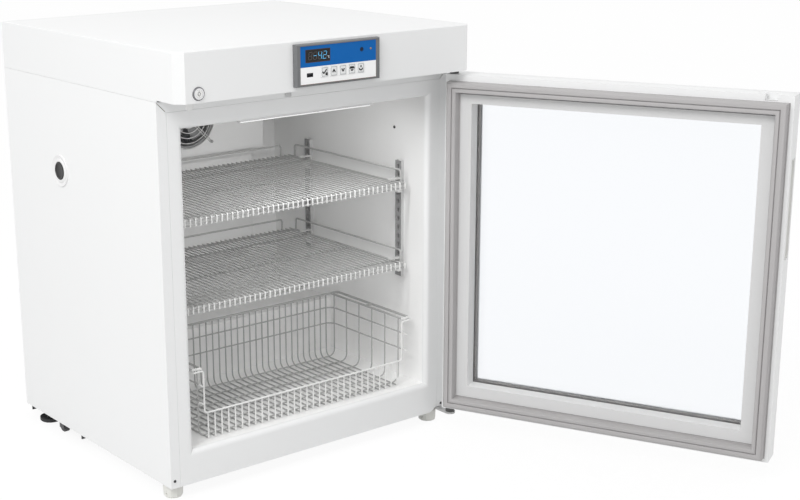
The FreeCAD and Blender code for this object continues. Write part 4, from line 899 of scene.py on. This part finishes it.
class REFRIGERATOR_OT_lock(bpy.types.Operator):
    """Make the round parts of the lock"""
    bl_idname = "refrigerator.lock"
    bl_label = "Lock"

    def execute(self, context):
        low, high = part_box("lock_barrel")
        front, wall, back = low.y - 0.0008, low.y + 0.002, high.y
        bore = 0.00655
        profile = [(bore, back - 0.0002), (bore, front + 0.0001), (0.00665, front), (0.0092, front),
                   (0.0096, front + 0.0002), (0.0116, front + 0.0020), (0.0117, wall), (0.0089, wall),
                   (0.0089, back), (0.0070, back), (bore, back - 0.0002)]
        barrel = lathe(profile, LOCK_CENTRE, (0, 1, 0), 56)
        finished(barrel, "lock_ring", chrome_finish(), "cabinet", ("lock_barrel",))
        low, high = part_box("lock_core")
        core = lathe([(0.0, front), (0.0064, front), (0.0065, front + 0.0001), (0.0065, high.y - 0.005),
                      (0.0, high.y - 0.005)], LOCK_CENTRE, (0, 1, 0), 48)
        recess, dot, bottom = [
            peg((LOCK_CENTRE[0], place, LOCK_CENTRE[2]), radius, depth, 4, (math.pi / 2, 0, 0), (0.72, 1, 1))
            for radius, depth, place in ((0.0048, 0.0020, front), (0.0029, 0.0010, front + 0.0005),
                                         (0.0047, 0.0004, front + 0.0010))]
        cut_by(core, recess)
        # Painted shade: a near-black sheet at the bottom of the diamond recess stands in for the shade inside
        # it.
        painted_recess_shade = coated("recess_painted_shade", (0.06, 0.06, 0.062), rough=0.6, grain=900.0)
        finished(bottom, "lock_recess_painted_shade", painted_recess_shade, "lock")
        tongue_y, round_end = -0.301, 0.0075
        middle = low.z + round_end
        tongue = lathe([(0.0, -0.0015), (0.0070, -0.0015), (round_end, -0.0010), (round_end, 0.0010),
                        (0.0070, 0.0015), (0.0, 0.0015)], (LOCK_CENTRE[0], tongue_y, middle), (0, 1, 0), 40)
        select_where(tongue, lambda place: place.z > middle + 0.0001)
        bpy.ops.transform.translate(value=(0, 0, LOCK_CENTRE[2] - middle))
        bpy.ops.object.mode_set(mode="OBJECT")
        nut = lathe([(0.0, high.y - 0.0045), (0.0036, high.y - 0.0045), (0.0036, high.y - 0.0004),
                     (0.0032, high.y), (0.0, high.y)], LOCK_CENTRE, (0, 1, 0), 6)
        steel = coated("lock_steel", (0.82, 0.82, 0.81), rough=0.34, metal=0.15, grain=700.0, cloud=0.04)
        finished(joined([core, dot, tongue, nut]), "lock_core_and_tongue", steel, "lock", ("lock_core",))
        return {"FINISHED"}


class REFRIGERATOR_OT_port(bpy.types.Operator):
    """Make the round parts of the access port"""
    bl_idname = "refrigerator.port"
    bl_label = "Access port"

    def execute(self, context):
        low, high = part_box("port_sleeve")
        centre = (0.0, (low.y + high.y) / 2, (low.z + high.z) / 2)
        outside, inside, wall = low.x, high.x, low.x + 0.0025
        bore = 0.0170
        profile = [(bore, inside), (bore, outside + 0.0010), (0.0175, outside + 0.0003), (0.0184, outside),
                   (0.0206, outside), (0.0216, outside + 0.0004), (0.0232, outside + 0.0017),
                   (0.0255, outside + 0.0014), (0.0288, outside + 0.0001), (0.0297, outside),
                   (0.0304, outside + 0.0006), (0.0307, outside + 0.0014), (0.0307, wall), (0.0215, wall),
                   (0.0215, inside), (bore, inside)]
        plastic = coated("port_plastic", (0.84, 0.84, 0.84), rough=0.34, grain=900.0, cloud=0.01, coat=0.1)
        sleeve = lathe(profile, centre, (1, 0, 0), 64)
        finished(sleeve, "port_ring", plastic, "cabinet", ("port_sleeve",))
        low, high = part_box("port_plug")
        face = low.x
        radius = 0.01692
        profile = [(0.0, face + 0.0022), (0.0122, face + 0.0022), (0.0134, face + 0.0017),
                   (0.0142, face + 0.0003), (0.0148, face), (0.0158, face), (radius, face + 0.0009),
                   (radius, high.x - 0.0012), (0.0158, high.x), (0.0, high.x)]
        rubber = coated("plug_rubber", (0.012, 0.012, 0.013), rough=0.45, grain=500.0, depth=0.00004,
                        coat=0.1)
        plug = lathe(profile, centre, (1, 0, 0), 64)
        finished(plug, "port_plug_round", rubber, "port_plug", ("port_plug",))
        return {"FINISHED"}


class REFRIGERATOR_OT_door(bpy.types.Operator):
    """Finish the door and make its seal"""
    bl_idname = "refrigerator.door"
    bl_label = "Door"

    def execute(self, context):
        colours = context.scene.refrigerator_colours
        plastic = coated("door_plastic", tone(colours.paint, 0.995), rough=0.38, grain=700.0, depth=0.00001,
                         cloud=0.004, coat=0.1)
        front, inner, bar, cover = -0.330, -0.280, 0.025, 0.0575
        outline = [(0.0, inner), (0.0, front + 0.0040), (0.0005, front + 0.0020), (0.0020, front + 0.0005),
                   (0.0040, front), (cover, front), (cover, front + 0.0034), (bar, front + 0.0034),
                   (bar, inner), (0.0, inner)]
        half, bottom, top = 0.3248, 0.0428, 0.7172
        door = border(outline, (-half, bottom), (half, top))
        seat, past, deep = -0.286, -0.279, 0.024
        cut_by(door, border([(0.0, seat), (0.0, past), (deep, past), (deep, seat), (0.0, seat)],
                            (-0.318, 0.0497), (0.318, 0.7048)))
        grip_recess = ((-0.330, -0.318, 0.423), (-0.311, -0.294, 0.603))
        lock_notch = ((-0.296, -0.3045, 0.7065), (-0.274, -0.2785, 0.7185))
        tongue_slot = ((-0.2745, -0.3045, 0.7065), (-0.258, -0.2975, 0.7185))
        for low, high in (grip_recess, lock_notch, tongue_slot):
            cut_by(door, slab(low, high))
        for z in (0.0527, 0.7073):
            cut_by(door, peg((HINGE[0], HINGE[1], z), 0.0065, 0.022, 32))
        finished(closed_to_open(door), "door_body", plastic, "door", ("door_outer_frame",))
        coat_nodes(reveal_finish(), "door_inner_frame")
        coat_nodes(glass_finish(), "glass_panes")
        coat_nodes(coated("grip_plastic", (0.85, 0.85, 0.83), rough=0.45, grain=600.0), "door_grip")
        coat_nodes(coated("bush_plastic", (0.1, 0.1, 0.1), rough=0.5), "hinge_bushes")

        foot, lip, crest, notch = seat, -0.2802, -0.2603, -0.2640
        profile = [(-0.0020, foot), (-0.0020, lip), (0.0, lip), (0.0, -0.2650), (0.0006, -0.2622),
                   (0.0022, -0.2605), (0.0045, crest), (0.0078, crest), (0.0096, -0.2606),
                   (0.0104, -0.2616), (0.0106, notch), (0.0116, notch), (0.0118, -0.2620),
                   (0.0126, -0.2610), (0.0140, -0.2606), (0.0172, -0.2606), (0.0188, -0.2614),
                   (0.0196, -0.2632), (0.0198, lip), (0.0220, lip), (0.0220, foot), (-0.0020, foot)]
        seal = border(profile, (-0.3160, 0.0508), (0.3160, 0.7046))
        rubber = coated("gasket_rubber", tone(colours.gasket, 0.84), rough=0.6, grain=500.0, depth=0.00002)
        finished(closed_to_open(seal), "door_seal", rubber, "door", ("door_gasket",),
                 smooth=50.0)

        near, far, wide = -0.3142, -0.3224, 0.012
        bar = border([(0.0, far), (0.0, near), (-wide, near), (-wide, far), (0.0, far)], (-0.2680, 0.0997),
                     (0.2680, 0.6603))
        metal = coated("spacer_metal", (0.3, 0.285, 0.275), rough=0.42, metal=0.25, grain=500.0)
        finished(closed_to_open(bar), "pane_spacer", metal, "door", ("glass_spacer",))
        return {"FINISHED"}


class REFRIGERATOR_OT_feet(bpy.types.Operator):
    """Make the front feet and finish the rear feet and the rollers"""
    bl_idname = "refrigerator.feet"
    bl_label = "Feet and rollers"

    def execute(self, context):
        plastic = coated("foot_plastic", (0.80, 0.80, 0.76), rough=0.42, grain=500.0)
        for side, name in ((-1, "front_foot_left"), (1, "front_foot_right")):
            low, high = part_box(name)
            centre = ((low.x + high.x) / 2 + side * 0.003, (low.y + high.y) / 2 - 0.002, 0.0)
            block = lathe([(0.0, 0.0), (0.0160, 0.0), (0.0176, 0.0024), (0.0186, 0.0215), (0.0180, 0.0228),
                           (0.0, 0.0228)], centre, (0, 0, 1), 10)
            hole = (centre[0] - 0.0170, centre[1] - 0.0040, 0.0085)
            cut_by(block, peg(hole, 0.0016, 0.010, 12, turn=(0, math.pi / 2, 0)))
            middle = ((low.x + high.x) / 2, (low.y + high.y) / 2, 0.0)
            stud = lathe([(0.0, 0.0215), (0.0038, 0.0215), (0.0038, high.z - 0.001), (0.0030, high.z),
                          (0.0, high.z)], middle, (0, 0, 1), 16)
            finished(joined([block, stud]), name + "_block", plastic, name, (name,),
                     smooth=25.0)
        coat_nodes(coated("pad_rubber", (0.03, 0.03, 0.032), rough=0.7, grain=400.0), "rear_feet")
        coat_nodes(coated("roller_plastic", (0.04, 0.04, 0.042), rough=0.5, grain=400.0), "roller_left",
                   "roller_right")
        return {"FINISHED"}


def seen_clearly(tree):
    """1 for the rays of the camera, of mirrors and of glass, and 0 for those that light the object."""
    path = tree.nodes.new("ShaderNodeLightPath")
    camera, mirror, glass = [Value(tree, path.outputs["Is " + kind + " Ray"])
                             for kind in ("Camera", "Glossy", "Transmission")]
    return camera + mirror + glass > 0.5


def area_lamp(name, width, length, watts, place):
    """A rectangular lamp."""
    lamp = bpy.data.lights.new(name, "AREA")
    lamp.shape = "RECTANGLE"
    lamp.size, lamp.size_y = width, length
    lamp.energy = watts
    obj = bpy.data.objects.new(name, lamp)
    bpy.context.scene.collection.objects.link(obj)
    obj.location = place
    return obj


class REFRIGERATOR_OT_stage(bpy.types.Operator):
    """Set the floor, the light and the camera"""
    bl_idname = "refrigerator.stage"
    bl_label = "Stage"

    def execute(self, context):
        light, colours = context.scene.refrigerator_stage, context.scene.refrigerator_colours
        deselect()
        bpy.ops.mesh.primitive_plane_add(size=24.0, location=(0, 0, 0))
        floor = bpy.context.object
        floor.name = "floor"
        finish = Finish("floor_white")
        grain = finish.noise(3.0)
        base = finish.mix(grain + 0.5, tone(colours.floor, 0.99), tone(colours.floor, 1.01))
        shaded = finish.node("ShaderNodeBsdfDiffuse", None, {"Color": base})
        white = finish.node("ShaderNodeEmission", None, {"Color": (1, 1, 1, 1), "Strength": 1.06})
        mixed = finish.node("ShaderNodeMixShader", None, {"Fac": seen_clearly(finish.tree) * 0.86})
        finish.tree.links.new(shaded.outputs[0], mixed.inputs[1])
        finish.tree.links.new(white.outputs[0], mixed.inputs[2])
        finish.tree.links.new(mixed.outputs[0], finish.output.inputs["Surface"])
        floor.data.materials.append(finish.material)
        floor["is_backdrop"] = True

        world = bpy.data.worlds.new("studio")
        world.use_nodes = True
        context.scene.world = world
        tree = world.node_tree
        tree.nodes.clear()
        strength = seen_clearly(tree) * (1.0 - light.world_light) + light.world_light
        back = tree.nodes.new("ShaderNodeBackground")
        back.inputs["Color"].default_value = (1, 1, 1, 1)
        tree.links.new(strength.socket, back.inputs["Strength"])
        out = tree.nodes.new("ShaderNodeOutputWorld")
        tree.links.new(back.outputs[0], out.inputs["Surface"])

        key = area_lamp("key", 1.8, 1.4, light.key_light, (-2.5, -1.5, 2.9))
        aim = Vector((0.1, -0.2, 0.45)) - key.location
        key.rotation_euler = aim.to_track_quat("-Z", "Y").to_euler()
        low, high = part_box("light_lens")
        place = (0.0, (low.y + high.y) / 2 + 0.012, low.z - 0.004)
        tube = area_lamp("strip", high.x - low.x, 0.02, light.strip_light, place)
        tube.rotation_euler = (math.radians(20), 0, 0)

        camera_data = bpy.data.cameras.new("camera")
        camera_data.sensor_width = 36.0
        camera_data.lens = 67.40
        camera_data.shift_x = 0.0655
        camera_data.shift_y = 0.03275
        camera = bpy.data.objects.new("camera", camera_data)
        context.scene.collection.objects.link(camera)
        yaw, pitch, roll = math.radians(38.001), math.radians(15.735), math.radians(-0.367)
        turn = Matrix.Rotation(-yaw, 4, "Z") @ Matrix.Rotation(math.pi / 2 - pitch, 4, "X")
        place = Matrix.Translation((-1.6019, -2.4105, 1.1195))
        camera.matrix_world = place @ turn @ Matrix.Rotation(roll, 4, "Z")
        context.scene.camera = camera
        context.scene.view_settings.view_transform = "Standard"
        return {"FINISHED"}


class REFRIGERATOR_PT_panel(bpy.types.Panel):
    """Lists the sizes, the colours and the steps"""
    bl_label = "Refrigerator"
    bl_idname = "REFRIGERATOR_PT_panel"
    bl_space_type = "VIEW_3D"
    bl_region_type = "UI"
    bl_category = "Refrigerator"

    def draw(self, context):
        scene = context.scene
        for group in (scene.refrigerator_wires, scene.refrigerator_colours, scene.refrigerator_stage):
            box = self.layout.box()
            for name in group.bl_rna.properties.keys():
                if name not in ("rna_type", "name"):
                    box.prop(group, name)
        for step in STEPS:
            self.layout.operator(step.bl_idname)


STEPS = (REFRIGERATOR_OT_cabinet, REFRIGERATOR_OT_shelves, REFRIGERATOR_OT_basket, REFRIGERATOR_OT_duct,
         REFRIGERATOR_OT_panel, REFRIGERATOR_OT_lock, REFRIGERATOR_OT_port, REFRIGERATOR_OT_door,
         REFRIGERATOR_OT_feet, REFRIGERATOR_OT_stage)
CLASSES = (RefrigeratorWires, RefrigeratorColours, RefrigeratorStage) + STEPS + (REFRIGERATOR_PT_panel,)


def register():
    for made in CLASSES:
        bpy.utils.register_class(made)
    bpy.types.Scene.refrigerator_wires = bpy.props.PointerProperty(type=RefrigeratorWires)
    bpy.types.Scene.refrigerator_colours = bpy.props.PointerProperty(type=RefrigeratorColours)
    bpy.types.Scene.refrigerator_stage = bpy.props.PointerProperty(type=RefrigeratorStage)


def unregister():
    del bpy.types.Scene.refrigerator_stage
    del bpy.types.Scene.refrigerator_colours
    del bpy.types.Scene.refrigerator_wires
    for made in reversed(CLASSES):
        bpy.utils.unregister_class(made)


def corners():
    return [list(corner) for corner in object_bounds()]


def main():
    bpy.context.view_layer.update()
    register()
    bpy.ops.refrigerator.cabinet()
    bpy.ops.refrigerator.shelves()
    bpy.ops.refrigerator.basket()
    bpy.ops.refrigerator.duct()
    bpy.ops.refrigerator.panel()
    bpy.ops.refrigerator.lock()
    bpy.ops.refrigerator.port()
    bpy.ops.refrigerator.door()
    bpy.ops.refrigerator.feet()
    bpy.ops.refrigerator.stage()


if __name__ == "__main__":
    main()
